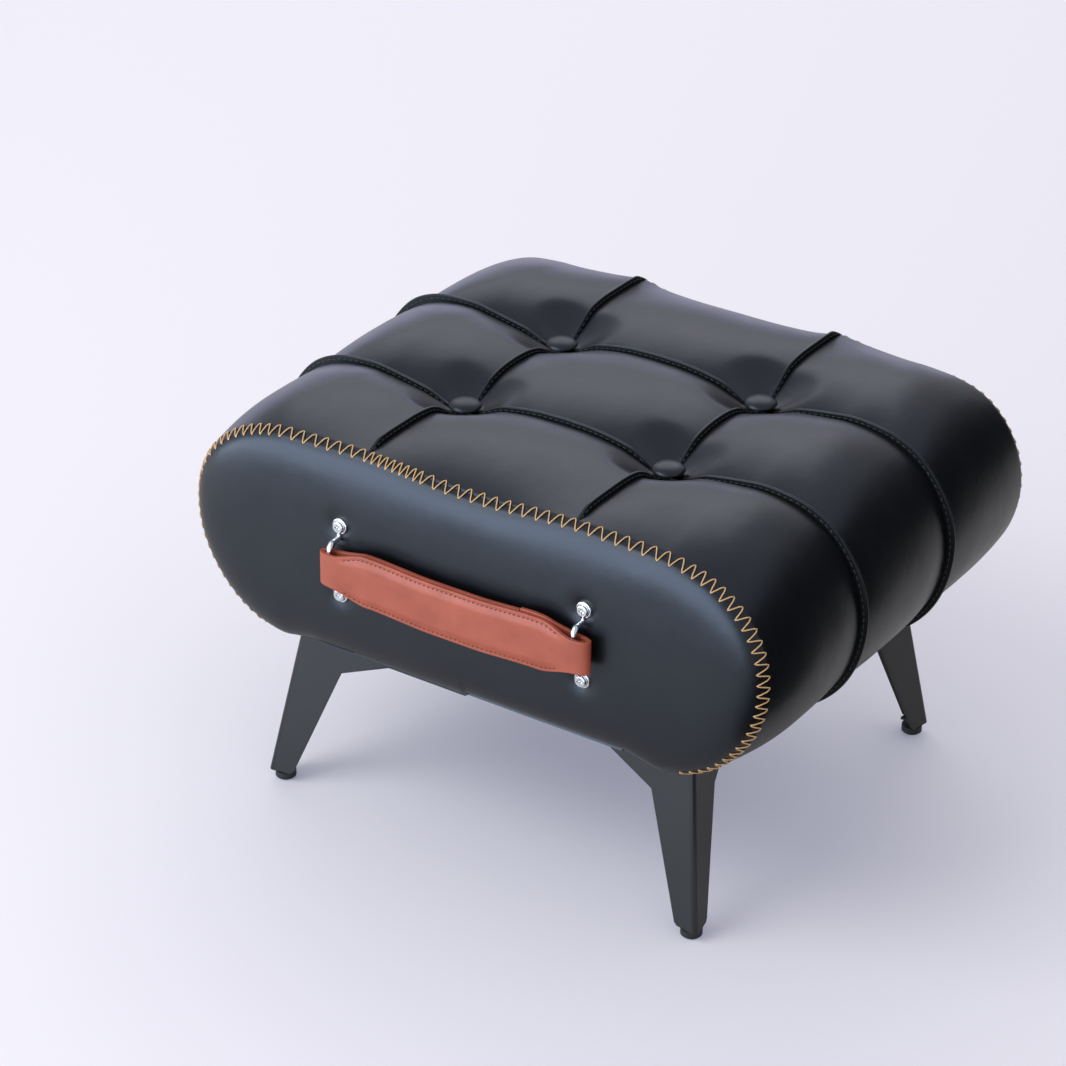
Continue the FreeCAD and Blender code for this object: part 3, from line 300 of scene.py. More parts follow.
def rise(place, y):
    """How far the leather stands out from the plain section."""
    t, v = np.broadcast_arrays(np.abs(np.asarray(place, float)), np.abs(np.asarray(y, float)))
    side = np.sign(np.asarray(y, float) + 0 * t)
    inner = t < TUFT_X
    outer_place = np.maximum(t, TUFT_X)
    pleat = np.where(
        inner, curve_through(PLEAT_MIDDLE, np.minimum(t, TUFT_X)), curve_through(PLEAT_OUTER, outer_place)
    )
    pleat = pleat + end_fullness(place)
    rolled = np.where(side > 0, BACK_ROLL, 0)
    seam = seam_rise(np.asarray(place, float) + 0 * v, side) + rolled
    corner = PLEAT_OUTER[0][1]
    outer_share = np.clip(1 - (t - TUFT_X) / (LOBE_X - TUFT_X + 14), 0, 1)
    across = np.where(inner, t / TUFT_X, outer_share) ** PUFF_POWER
    # Middle strip, between the two left-to-right pleats
    crown = np.where(inner, CROWN_MIDDLE, curve_through(CROWN_OUTER, outer_place))
    crown_tuft = np.where(inner, CROWN_MIDDLE, CROWN_OUTER[0][1])
    along = np.clip(v / TUFT_Y, 0, 1) ** PUFF_POWER
    foot = curve_through(FOOT_LINE, np.minimum(v, TUFT_Y))
    drop = (crown - pleat) * along + ((crown_tuft - foot) - (crown_tuft - corner) * along) * across
    middle = crown - drop
    # Front and back strips, between a pleat and a seam
    crown = np.where(inner, STRIP_CROWN, curve_through(CROWN_OUTER, outer_place) - STRIP_LESS)
    crown_tuft = np.where(inner, STRIP_CROWN, CROWN_OUTER[0][1] - STRIP_LESS)
    peak = 0.47 * SEAM_Y + 0.53 * TUFT_Y
    to_pleat = np.clip((peak - v) / (peak - TUFT_Y), 0, 1) ** PUFF_POWER
    to_seam = np.clip((v - peak) / (SEAM_Y - peak), 0, 1) ** (SEAM_POWER + 4 * smooth_step(t, 362, 385))
    foot = curve_through(FOOT_LINE_END, np.clip(v, TUFT_Y, SEAM_Y))
    end_corner = seam_rise(np.full_like(t, TUFT_X), side) + rolled
    drop = (crown - pleat) * to_pleat + (crown - seam) * to_seam
    corners = (crown_tuft - corner) * to_pleat + (crown_tuft - end_corner) * to_seam
    drop = drop + (crown_tuft - foot - corners) * across
    strip = crown - drop
    out = np.where(v < TUFT_Y, middle, strip) - rolled * np.clip(1 - (SEAM_Y - v) / 6, 0, 1) ** 2
    leftward = -np.asarray(place, float)
    fuller = smooth_step(leftward, 110, 175) * (1 - smooth_step(leftward, 225, 300))
    out = out + curve_through(LEFT_FULLNESS, np.asarray(y, float) + 0 * t) * fuller
    # The dish round each button
    away = np.hypot(t - TUFT_X, v - TUFT_Y)
    from_rim = np.maximum(away - BUTTON_RADIUS, 0)
    dish = 0.47 * from_rim + 0.004 * from_rim**2 - BUTTON_SINK
    dish = np.where(away < 60, dish, 60.0)
    return smooth_least(out, dish, 1.1)


def leather_point(place, y, lift=0.0):
    """A point of the cover in metres, lifted along the plain section's normal."""
    x, z, nx, nz = section(np.asarray(place, float))
    h = rise(place, y) + lift
    x, z, y_all = np.broadcast_arrays(x + nx * h, z + nz * h, np.asarray(y, float) + SEAT_Y)
    return np.stack([x, y_all, z], axis=-1) * MM


def grid_object(name, points, loop=False):
    """A mesh of quads over a grid of points."""
    rows, columns = points.shape[:2]
    index = np.arange(rows * columns).reshape(rows, columns)
    if loop:
        index = np.concatenate([index, index[:, :1]], axis=1)
    corners = [index[:-1, :-1], index[:-1, 1:], index[1:, 1:], index[1:, :-1]]
    quads = np.stack(corners, axis=-1).reshape(-1, 4)
    mesh = bpy.data.meshes.new(name)
    mesh.from_pydata(points.reshape(-1, 3).tolist(), [], quads.tolist())
    mesh.update()
    made = bpy.data.objects.new(name, mesh)
    bpy.context.scene.collection.objects.link(made)
    return made


def only(made):
    """Selects one object and makes it the active one."""
    bpy.ops.object.select_all(action="DESELECT")
    made.select_set(True)
    bpy.context.view_layer.objects.active = made


def apply(made, kind, **settings):
    """Adds a modifier and applies it."""
    only(made)
    modifier = made.modifiers.new(kind.title(), kind)
    for key, value in settings.items():
        setattr(modifier, key, value)
    bpy.ops.object.modifier_apply(modifier=modifier.name)


def shade(made, angle):
    """Shades a piece smooth, but for edges sharper than an angle."""
    only(made)
    bpy.ops.object.shade_smooth_by_angle(angle=math.radians(angle))


def face_outwards(made):
    """Turns a closed piece's normals outwards."""
    only(made)
    bpy.ops.object.mode_set(mode="EDIT")
    bpy.ops.mesh.select_all(action="SELECT")
    bpy.ops.mesh.normals_make_consistent(inside=False)
    bpy.ops.object.mode_set(mode="OBJECT")


# Foam: the moulded pads between the frame and the leather. They don't show, and follow their solids,
# drawn in a little so that the leather always covers them.
FOAM_WELD = 0.05 * MM
FOAM_VOXEL = 6 * MM
FOAM_DRAWN_IN = 3 * MM
foam, tree, shader = finish("seat_foam", "#D8D0B4", 0.95)
cells = add_node(tree, "ShaderNodeTexVoronoi", {"Scale": 0.8}, {"Vector": place_in_mm(tree)})
emboss(tree, shader, cells.outputs["Distance"], 0.7, 0.5)
for name in ("top_foam", "left_foam", "right_foam", "front_pad", "back_pad"):
    piece = bpy.data.objects.new(name + "_soft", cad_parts[name].data.copy())
    bpy.context.scene.collection.objects.link(piece)
    piece.matrix_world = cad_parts[name].matrix_world.copy()
    apply(piece, "WELD", merge_threshold=FOAM_WELD)
    apply(piece, "REMESH", mode="VOXEL", voxel_size=FOAM_VOXEL)
    apply(piece, "DISPLACE", strength=-FOAM_DRAWN_IN, mid_level=0.0)
    piece.data.materials.clear()
    piece.data.materials.append(foam)
    shade(piece, 60)
    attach(piece, "stool")
    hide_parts(name)

# Cover: three strips of thick, smooth, black finished cow hide, pulled tight over the foam by the sewn
# pleats and the buttons. It is nearly smooth, with a fine tight grain and a soft, wide sheen.
# The shader tints the hide's reflections pale blue: a painted tint, standing in for the cool light of the
# room
black_hide, tree, shader = finish("black_hide", "#0A0C0F", 0.34, Specular_Tint=linear("#E2EEFF"))
mm_place = place_in_mm(tree)
# Hide grain is cells of about 0.5 mm; drawn at 0.8 mm so that it shows
cells = add_node(
    tree,
    "ShaderNodeTexVoronoi",
    {"Scale": 1.25, "feature": "SMOOTH_F1", "Smoothness": 0.6},
    {"Vector": mm_place},
)
stretch = add_node(
    tree, "ShaderNodeTexNoise", {"Scale": 0.045, "Detail": 3, "Roughness": 0.55}, {"Vector": mm_place}
)
grain = add_node(
    tree, "ShaderNodeBump", {"Strength": 0.16, "Distance": 0.12 * MM}, {"Height": cells.outputs["Distance"]}
)
waves = add_node(
    tree,
    "ShaderNodeBump",
    {"Strength": 0.25, "Distance": 1.2 * MM},
    {"Height": stretch.outputs["Fac"], "Normal": grain.outputs[0]},
)
tree.links.new(waves.outputs[0], shader.inputs["Normal"])
cloud_gloss(tree, shader, stretch.outputs["Fac"], 0.28, 0.39)

COVER_PLACES = np.concatenate([
    np.linspace(-TUCK_END, -ROUND_END, 10)[:-1],
    np.linspace(-ROUND_END, -LOBE_X, 116)[:-1],
    np.linspace(-LOBE_X, LOBE_X, 183)[:-1],
    np.linspace(LOBE_X, ROUND_END, 116)[:-1],
    np.linspace(ROUND_END, TUCK_END, 10),
])


def close_rows(start, end, count):
    """Rows across a strip, closer together at both of its edges."""
    f = np.linspace(0, 1, count)
    f = 0.62 * f + 0.38 * (1 - np.cos(math.pi * f)) / 2
    return start + (end - start) * f


for name, start, end in (
    ("cover_front_strip", -SEAM_Y, -TUFT_Y),
    ("cover_middle_strip", -TUFT_Y, TUFT_Y),
    ("cover_back_strip", TUFT_Y, SEAM_Y),
):
    rows = close_rows(start, end, 66)
    places, depths = np.meshgrid(COVER_PLACES, rows)
    # The strip's edges turn down into the seam and into the foot of each pleat
    to_seam = SEAM_Y - np.abs(depths)
    to_pleat = np.abs(np.abs(depths) - TUFT_Y)
    turned = -1.3 * np.exp(-((to_seam / 1.5) ** 2)) - 0.9 * np.exp(-((to_pleat / 1.7) ** 2))
    strip = grid_object(name + "_hide", leather_point(places, depths, turned))
    apply(strip, "SOLIDIFY", thickness=HIDE_THICKNESS, offset=-1, use_even_offset=False)
    face_outwards(strip)
    strip.data.materials.append(black_hide)
    shade(strip, 50)
    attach(strip, "stool")
    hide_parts(name)

# End panels: one piece of the same hide over a thin pad, rolled over at its sewn edge. The screws of the
# strap's loops pull four dimples into the front one.
EYE_X = 90
EYE_Z = 24.2
SCREW_PLACES = [(x, z) for x in (-EYE_X, EYE_X) for z in (MID_Z - EYE_Z, MID_Z + EYE_Z)]
PANEL_DOME = {-1: 11.0, 1: 8.5}
DIMPLE_DEPTH = 3.0
DIMPLE_RADIUS = 8.0
# How far in from its edge the panel's line round its middle is plain
EDGE_FADE = 30


def panel_point(place, inset, side, lift=0.0):
    """A point of an end panel in metres: its place round the edge, and how far in from the seam."""
    x, z, nx, nz = section(place)
    # The edge follows the leather that it is sewn to
    edge = rise(place, side * SEAM_Y) * np.clip(1 - inset / EDGE_FADE, 0, 1)
    x = x + nx * (edge - inset)
    z = z + nz * (edge - inset)
    # It rolls over within 3 mm of the seam, and swells slowly from there
    dome = PANEL_DOME[side] * (1 - 0.25 * np.exp(-inset / 3.0) - 0.75 * np.exp(-inset / 13.0))
    if side < 0:
        for screw_x, screw_z in SCREW_PLACES:
            away = ((x - screw_x) ** 2 + (z - screw_z) ** 2) / DIMPLE_RADIUS**2
            dome = dome - DIMPLE_DEPTH * np.exp(-away)
    dome = dome + 0.35 * np.sin(x * 0.045 + z * 0.02) * np.clip(inset / EDGE_FADE, 0, 1)
    y = side * (SEAM_Y + dome + lift) + SEAT_Y
    return np.stack(np.broadcast_arrays(x, y, z), axis=-1) * MM


def join(name, pieces):
    """Joins pieces into one object."""
    bpy.ops.object.select_all(action="DESELECT")
    for piece in pieces:
        piece.select_set(True)
    bpy.context.view_layer.objects.active = pieces[0]
    if len(pieces) > 1:
        bpy.ops.object.join()
    pieces[0].name = name
    pieces[0].data.name = name
    return pieces[0]


half_loop = ROUND_END + LOBE_X
for name, side in (("front_panel", -1), ("back_panel", 1)):
    loop_places = np.linspace(-half_loop, half_loop, 520, endpoint=False)
    insets = END_RADIUS * np.linspace(0, 1, 64) ** 1.6
    points = []
    for inset in insets:
        ring_inset = min(inset, END_RADIUS - 0.02)
        turned = -1.1 * math.exp(-((inset / 1.3) ** 2))
        points.append(panel_point(loop_places, np.full_like(loop_places, ring_inset), side, turned))
    panel = grid_object(name + "_hide", np.array(points), loop=True)
    apply(panel, "WELD", merge_threshold=0.08 * MM)
    apply(panel, "SOLIDIFY", thickness=HIDE_THICKNESS, offset=side * -1, use_even_offset=False)
    face_outwards(panel)
    # Its lower edge is turned under the seat, where the base board's staples hold it
    steps = np.arange(-60, 61)
    turned_places, turned_depths = np.meshgrid(
        np.sign(steps + 0.5) * (half_loop - np.abs(steps) * 1.9),
        side * np.linspace(SEAM_Y - 0.2, SEAM_Y - TUCK, 16),
    )
    flap = grid_object(name + "_flap", leather_point(turned_places, turned_depths))
    apply(flap, "SOLIDIFY", thickness=HIDE_THICKNESS, offset=side, use_even_offset=False)
    face_outwards(flap)
    panel = join(name + "_hide", [panel, flap])
    panel.data.materials.append(black_hide)
    shade(panel, 50)
    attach(panel, "stool")
    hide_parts(name)

# Pleats: the strips' edges folded up together and sewn through, standing about 5 mm. The fold at the top is
# round and catches the light; the sides are lightly creased, and drawn darker and less glossy than the
# cover: painted shade of the deep valleys.
pleat_side_shade_hide, tree, shader = finish("pleat_side_painted_shade", "#06080A", 0.6, Specular_IOR_Level=0.22)
creases = add_node(tree, "ShaderNodeTexNoise", {"Scale": 0.9, "Detail": 4}, {"Vector": place_in_mm(tree)})
emboss(tree, shader, creases.outputs["Fac"], 0.4, 0.2)


def ribbon(name, feet, tops, sideways, width):
    """A standing fold between a line of feet and a line of tops, in metres, closed all round."""
    # Each row: how far up the fold, and how wide it is there as a share
    rows = (
        (-0.35, 1.25), (0.0, 1.12), (0.12, 1.0), (0.5, 0.96), (0.78, 0.94), (0.9, 0.8), (0.97, 0.5),
        (1.0, 0.0),
    )
    profile = list(rows) + [(up, -share) for up, share in rows[-2::-1]]
    points = []
    for up, share in profile:
        points.append(feet + (tops - feet) * up + sideways * share * width / 2)
    points.append(points[0] * 0.5 + points[-1] * 0.5)
    made = grid_object(name, np.array(points).transpose(1, 0, 2), loop=True)
    made.data.materials.append(black_hide)
    made.data.materials.append(pleat_side_shade_hide)
    # The faces from one side of the round fold to the other keep the plain hide; the sides take the darker
    # hide, painted shade
    fold_top_faces = [5, 6, 7, 8]
    for face in made.data.polygons:
        face.material_index = 0 if face.index % len(points) in fold_top_faces else 1
    only(made)
    bpy.ops.object.mode_set(mode="EDIT")
    bpy.ops.mesh.select_all(action="DESELECT")
    bpy.ops.mesh.select_non_manifold()
    bpy.ops.mesh.edge_face_add()
    bpy.ops.object.mode_set(mode="OBJECT")
    face_outwards(made)
    return made


PLEAT_RISE = 5.0
PLEAT_SUNK = 0.5
PLEAT_WIDTH = 2.5 * MM


def pleat_height(away_from_button, away_from_end):
    """The fold is low where it comes out from under a button, and dies out at its ends."""
    near = 0.42 + 0.58 * smooth_step(away_from_button, 10, 30)
    return PLEAT_RISE * near * smooth_step(away_from_end, -1, 16)


def cross_line(places, side, up):
    """Points on a left-to-right pleat, up is from 0 at its foot to 1 at its top."""
    away = np.abs(np.abs(places) - TUFT_X)
    fuller = 1 + (0.2 if side > 0 else 0.05) * end_fullness(places)
    height = pleat_height(away, ROUND_END - np.abs(places)) * fuller
    x, z, nx, nz = section(places)
    h = rise(places, np.full_like(places, side * TUFT_Y)) - PLEAT_SUNK + up * height
    return np.stack([x + nx * h, np.full_like(x, side * TUFT_Y + SEAT_Y), z + nz * h], axis=-1) * MM


def lengthwise_line(depths, side, up):
    """Points on a front-to-back pleat."""
    away = np.abs(np.abs(depths) - TUFT_Y)
    height = pleat_height(away, SEAM_Y - np.abs(depths))
    h = rise(np.full_like(depths, side * TUFT_X), depths) - PLEAT_SUNK + up * height
    return np.stack([np.full_like(h, side * TUFT_X), depths + SEAT_Y, TOP_Z + h], axis=-1) * MM


BUTTON_EDGE = 10.2


def runs_between(tuft, end):
    """The three runs of a pleat: from its ends to the buttons' edges, and between the buttons."""
    near, far = tuft - BUTTON_EDGE, tuft + BUTTON_EDGE
    return (-end, -far), (-near, near), (far, end)


cross_runs = runs_between(TUFT_X, ROUND_END + 4)
lengthwise_runs = runs_between(TUFT_Y, SEAM_Y - 1.5)
pleat_lines = []
for name, side, line, runs, sideways in (
    ("front_pleat", -1, cross_line, cross_runs, (0, 1, 0)),
    ("back_pleat", 1, cross_line, cross_runs, (0, 1, 0)),
    ("left_pleat", -1, lengthwise_line, lengthwise_runs, (1, 0, 0)),
    ("right_pleat", 1, lengthwise_line, lengthwise_runs, (1, 0, 0)),
):
    parts = []
    for number, (start, end) in enumerate(runs):
        steps = np.linspace(start, end, int((end - start) / 1.5) + 2)
        feet, tops = line(steps, side, 0.0), line(steps, side, 1.0)
        parts.append(ribbon(f"{name}_{number}", feet, tops, np.array(sideways, float), PLEAT_WIDTH))
        pleat_lines.append((line, side, start, end, np.array(sideways, float)))
    fold = join(name + "_hide", parts)
    shade(fold, 60)
    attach(fold, "stool")
    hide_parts(name)


def tube(path, radius, sides=6):
    """Points and faces of a closed tube along a path, in metres."""
    path = np.asarray(path, float)
    ahead = np.gradient(path, axis=0)
    ahead /= np.linalg.norm(ahead, axis=1)[:, None]
    help_axis = np.array([0.31, 0.17, 0.93])
    across = np.cross(ahead, help_axis)
    across /= np.linalg.norm(across, axis=1)[:, None]
    over = np.cross(ahead, across)
    turn = np.arange(sides) * 2 * math.pi / sides
    # Its ends are drawn in
    radii = np.ones(len(path)) * radius
    radii[[0, -1]] *= 0.55
    points = path[:, None] + (
        across[:, None] * np.cos(turn)[None, :, None] + over[:, None] * np.sin(turn)[None, :, None]
    ) * radii[:, None, None]
    index = np.arange(len(path) * sides).reshape(len(path), sides)
    following = np.roll(index, -1, axis=1)
    corners = [index[:-1], following[:-1], following[1:], index[1:]]
    faces = np.stack(corners, axis=-1).reshape(-1, 4).tolist()
    faces.append(index[0, ::-1].tolist())
    faces.append(index[-1].tolist())
    return points.reshape(-1, 3), faces


def tubes_object(name, paths, radius, sides=6):
    """One object of many short tubes, such as a row of stitches."""
    points, faces, start = [], [], 0
    for path in paths:
        more, more_faces = tube(path, radius, sides)
        points.append(more)
        faces += [[start + i for i in face] for face in more_faces]
        start += len(more)
    mesh = bpy.data.meshes.new(name)
    mesh.from_pydata(np.concatenate(points).tolist(), [], faces)
    mesh.update()
    made = bpy.data.objects.new(name, mesh)
    bpy.context.scene.collection.objects.link(made)
    face_outwards(made)
    return made


# Pleat stitches: dark bonded thread through the folded edges, about six stitches to 25 mm, half way up the
# fold on both of its sides. Each stitch dips into the leather at its ends.
dark_thread = thread_finish(
    "dark_bonded_thread", "#2B3B3D", 0.5, scale=0.8, distortion=0.5, strength=0.5, depth=0.1
)
PLEAT_PITCH = 4.2
PLEAT_STITCH = 2.9
STITCH_RADIUS = 0.36
stitch_paths = []
for line, side, start, end, sideways in pleat_lines:
    for number in range(int((end - start - 6) / PLEAT_PITCH)):
        first = start + 4 + number * PLEAT_PITCH
        steps = np.linspace(first, first + PLEAT_STITCH, 5)
        middle = line(steps, side, 0.52)
        dip = np.array([0.1, 0.34, 0.4, 0.34, 0.1]) * MM
        for face in (-1, 1):
            stitch_paths.append(middle + face * sideways * (PLEAT_WIDTH * 0.48 + dip[:, None] - 0.1 * MM))
stitches = tubes_object("pleat_stitches", stitch_paths, STITCH_RADIUS * MM, 5)
stitches.data.materials.append(dark_thread)
shade(stitches, 80)
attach(stitches, "stool")

# Zigzag seams: thick golden bonded thread over both sewn edges, from under one round end over the top to
# the other. The machine ran slower left of the middle, so the stitches are closer there.
# Its two tones across the strands are a painted highlight and painted shade
golden_thread = thread_finish(
    "golden_bonded_thread",
    "#D2A263",
    0.36,
    scale=0.7,
    distortion=0.4,
    strength=0.5,
    depth=0.15,
    tones=("#C28D4A", "#EBCC99"),
)
# Near-black stubs sunk into the leather at the needle holes: painted shadow in each hole
hole_shadow_black = finish("needle_hole_shadow", "#030303", 0.95)[0]

# How far the thread reaches from each seam over the cover and over the end panel
ZIGZAG_REACH = {-1: (-3.9, 3.3), 1: (-2.4, 5.6)}
ZIGZAG_LIFT = {-1: 0.5, 1: 0.25}
ZIGZAG_END = 348
ZIGZAG_RADIUS = 0.42
# Along the seam from one end of a leg to the other: over the top, round the ends, and in the slow run
HALF_PITCH_TOP = 4.7
HALF_PITCH_ENDS = 3.8
HALF_PITCH_SLOW = 2.6
NEEDLE_HOLE_SHADOW_RADIUS = 0.62
NEEDLE_HOLE_REACH = 1.12


def beside_seam(place, across, side, lift):
    """A point on the leather near a seam; across is negative on the cover and positive on the end panel."""
    place = np.array([float(place)])
    if across < 0:
        return leather_point(place, side * (SEAM_Y + across), lift)[0]
    return panel_point(place, np.array([across]), side, lift)[0]


for seam, side in (("front", -1), ("back", 1)):
    points = [-ZIGZAG_END]
    while points[-1] < ZIGZAG_END:
        here = points[-1]
        half_pitch = HALF_PITCH_TOP if abs(here) < 150 else HALF_PITCH_ENDS
        if side < 0 and -78 < here < -34:
            half_pitch = HALF_PITCH_SLOW
        points.append(here + half_pitch * (1 + 0.06 * math.sin(here * 1.7)))
    paths, hole_shadow_paths = [], []
    for number, (first, second) in enumerate(zip(points, points[1:])):
        first_across, second_across = ZIGZAG_REACH[side][:: 1 if number % 2 else -1]
        path = []
        for share in np.linspace(0, 1, 9):
            across = first_across + (second_across - first_across) * share
            from_end = min(1, 4 * min(share, 1 - share))
            lift = 0.1 + ZIGZAG_LIFT[side] * math.sin(math.pi * from_end / 2)
            along = first + (second - first) * share
            if abs(across) < 1.2:
                low, high = beside_seam(along, -1.2, side, lift), beside_seam(along, 1.2, side, lift)
                path.append(low + (high - low) * (across + 1.2) / 2.4)
            else:
                path.append(beside_seam(along, across, side, lift))
        paths.append(np.array(path))
        hole_across = first_across * NEEDLE_HOLE_REACH
        hole_shadow_paths.append(np.array([beside_seam(first, hole_across, side, step) for step in (-0.5, 0.05)]))
    zigzag = tubes_object(f"{seam}_zigzag", paths, ZIGZAG_RADIUS * MM, 8)
    zigzag.data.materials.append(golden_thread)
    shade(zigzag, 80)
    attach(zigzag, "stool")
    # The stubs at the needle holes are painted shadow
    hole_shadows = tubes_object(f"{seam}_needle_hole_shadows", hole_shadow_paths, NEEDLE_HOLE_SHADOW_RADIUS * MM, 8)
    hole_shadows.data.materials.append(hole_shadow_black)
    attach(hole_shadows, "stool")

# Tuft buttons: domed metal shells covered in the same hide, its edge turned under at the rim. Each is
# pulled down into its dish by the twine.
BUTTON_DOME = 4.4
BUTTON_LIFT = 2.9
buttons = []
for side_x in (-1, 1):
    for side_y in (-1, 1):
        bpy.ops.object.select_all(action="DESELECT")
        bpy.ops.mesh.primitive_uv_sphere_add(
            segments=64, ring_count=32, radius=BUTTON_RADIUS * MM, location=(0, 0, 0)
        )
        button = bpy.context.object
        bpy.ops.object.mode_set(mode="EDIT")
        bpy.ops.mesh.select_all(action="SELECT")
        bpy.ops.mesh.bisect(
            plane_co=(0, 0, 0.08 * BUTTON_RADIUS * MM), plane_no=(0, 0, -1), clear_outer=True
        )
        bpy.ops.mesh.select_all(action="DESELECT")
        bpy.ops.mesh.select_non_manifold()
        bpy.ops.mesh.extrude_region_move(TRANSFORM_OT_translate={"value": (0, 0, -1.6 * MM)})
        bpy.ops.transform.resize(value=(0.9, 0.9, 1))
        bpy.ops.mesh.edge_face_add()
        bpy.ops.mesh.select_all(action="SELECT")
        bpy.ops.transform.resize(value=(1, 1, BUTTON_DOME / BUTTON_RADIUS), center_override=(0, 0, 0))
        button_z = TOP_Z - BUTTON_SINK + BUTTON_LIFT
        bpy.ops.transform.translate(
            value=(side_x * TUFT_X * MM, (side_y * TUFT_Y + SEAT_Y) * MM, button_z * MM)
        )
        bpy.ops.object.mode_set(mode="OBJECT")
        buttons.append(button)
button = join("tuft_buttons_hide", buttons)
face_outwards(button)
button.data.materials.append(black_hide)
apply(button, "BEVEL", width=0.4 * MM, segments=3, limit_method="ANGLE", angle_limit=math.radians(35))
shade(button, 35)
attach(button, "stool")
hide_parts("tuft_buttons")

# Legs, with the small plates and nuts welded into their feet: folded steel sheet, powder coated satin
# black with a faint orange peel. Their cut edges are broken a little.
powder_coat, tree, shader = finish("black_powder_coat", "#181B1E", 0.4)
peel = add_node(tree, "ShaderNodeTexNoise", {"Scale": 0.9, "Detail": 2}, {"Vector": place_in_mm(tree)})
emboss(tree, shader, peel.outputs["Fac"], 0.2, 0.08)


def break_edges(name, width, segments, angle):
    """Rounds a CAD node's sharp edges a little, by a width in millimetres."""
    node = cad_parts[name]
    node.modifiers.new("Weld", "WELD").merge_threshold = 0.01 * MM
    edge = node.modifiers.new("Edge", "BEVEL")
    edge.width = width * MM
    edge.segments = segments
    edge.limit_method = "ANGLE"
    edge.angle_limit = math.radians(angle)


for name in (
    "leg_front_left",
    "leg_front_right",
    "leg_back_left",
    "leg_back_right",
    "nut_plates",
    "weld_nuts",
):
    dress(powder_coat, name)
    break_edges(name, 0.25, 2, 50)

# Levelling feet: black nylon pads, slightly glossy, each moulded on a zinc plated stud that screws into
# the nut in its leg
nylon, tree, shader = finish("black_nylon", "#1B1D20", 0.45)
speckle = add_node(tree, "ShaderNodeTexNoise", {"Scale": 2.5, "Detail": 2}, {"Vector": place_in_mm(tree)})
emboss(tree, shader, speckle.outputs["Fac"], 0.2, 0.05)
dress(nylon, "foot_pad_front_left", "foot_pad_front_right", "foot_pad_back_left", "foot_pad_back_right")

# Footman loops and their screws: bright chrome plate on steel, with faint polishing marks. A thick wire
# is bent out from two eyelets with rolled rims, and a screw through each eyelet holds it to the front.
chrome, tree, shader = finish("chrome_plate", "#D5D8DC", 0.14, 1.0)
marks = add_node(tree, "ShaderNodeTexNoise", {"Scale": 1.2, "Detail": 4}, {"Vector": place_in_mm(tree)})
cloud_gloss(tree, shader, marks.outputs["Fac"], 0.08, 0.22)
dress(chrome, "loop_screws")
break_edges("loop_screws", 0.2, 3, 40)
LOOP_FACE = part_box("footman_loop_left")[1].y / MM
BAR_RADIUS = 2.2
BAR_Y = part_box("footman_loop_left")[0].y / MM + BAR_RADIUS
# Each loop's line, as its y and its height from the seat's middle, and the radius there: out of the upper
# eyelet, out and down to the bar, and back to the lower eyelet behind the strap
LOOP_LINE = (
    (LOOP_FACE - 0.9, 21.0, 2.2), (LOOP_FACE - 1.2, 18.6, 2.0), (LOOP_FACE - 2.0, 16.9, 1.8),
    (LOOP_FACE - 4.5, 16.4, 1.7), (LOOP_FACE - 7.2, 16.3, 1.8), (BAR_Y + 2.4, 15.9, 2.1),
    (BAR_Y + 0.7, 14.2, BAR_RADIUS), (BAR_Y - 0.1, 11.5, BAR_RADIUS), (BAR_Y, 8, BAR_RADIUS),
    (BAR_Y, 0, BAR_RADIUS), (BAR_Y, -6.5, BAR_RADIUS), (BAR_Y + 1.2, -9.8, 2.1), (BAR_Y + 4, -12.2, 1.7),
    (LOOP_FACE - 4.4, -14.2, 1.5), (LOOP_FACE - 1.9, -16.4, 1.5), (LOOP_FACE - 1.1, -18.6, 1.7),
    (LOOP_FACE - 0.9, -21.0, 1.9),
)


def facing_front(add_primitive, place, **shape):
    """A round primitive with its axis turned to the front, its place in its mesh."""
    bpy.ops.object.select_all(action="DESELECT")
    add_primitive(location=(0, 0, 0), **shape)
    made = bpy.context.object
    bpy.ops.object.mode_set(mode="EDIT")
    bpy.ops.mesh.select_all(action="SELECT")
    bpy.ops.transform.rotate(value=math.pi / 2, orient_axis="X", center_override=(0, 0, 0))
    bpy.ops.transform.translate(value=place)
    bpy.ops.object.mode_set(mode="OBJECT")
    return made


for name, side in (("footman_loop_left", -1), ("footman_loop_right", 1)):
    corners = np.array(LOOP_LINE, float)
    gone = np.concatenate([[0], np.cumsum(np.hypot(*np.diff(corners[:, :2], axis=0).T))])
    steps = np.linspace(0, gone[-1], 110)
    line_y, line_z, radii = (
        curve_through(np.stack([gone, corners[:, column]], axis=1), steps) for column in range(3)
    )
    path = np.stack([np.full_like(line_y, side * EYE_X), line_y, MID_Z + line_z], axis=-1) * MM
    parts = [tubes_object(f"{name}_bar", [path], radii * MM, 20)]
    for eye in (-1, 1):
        x, y, z = side * EYE_X * MM, LOOP_FACE * MM, (MID_Z + eye * EYE_Z) * MM
        rim = facing_front(
            bpy.ops.mesh.primitive_torus_add,
            (x, y - 0.85 * MM, z),
            major_segments=64,
            minor_segments=20,
            major_radius=4.6 * MM,
            minor_radius=0.95 * MM,
        )
        disc = facing_front(
            bpy.ops.mesh.primitive_cylinder_add,
            (x, y - 0.8 * MM, z),
            vertices=64,
            radius=4.5 * MM,
            depth=1.4 * MM,
        )
        parts += [rim, disc]
    fitting = join(name + "_chrome", parts)
    face_outwards(fitting)
    fitting.data.materials.append(chrome)
    shade(fitting, 50)
    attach(fitting, "stool")
    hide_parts(name)

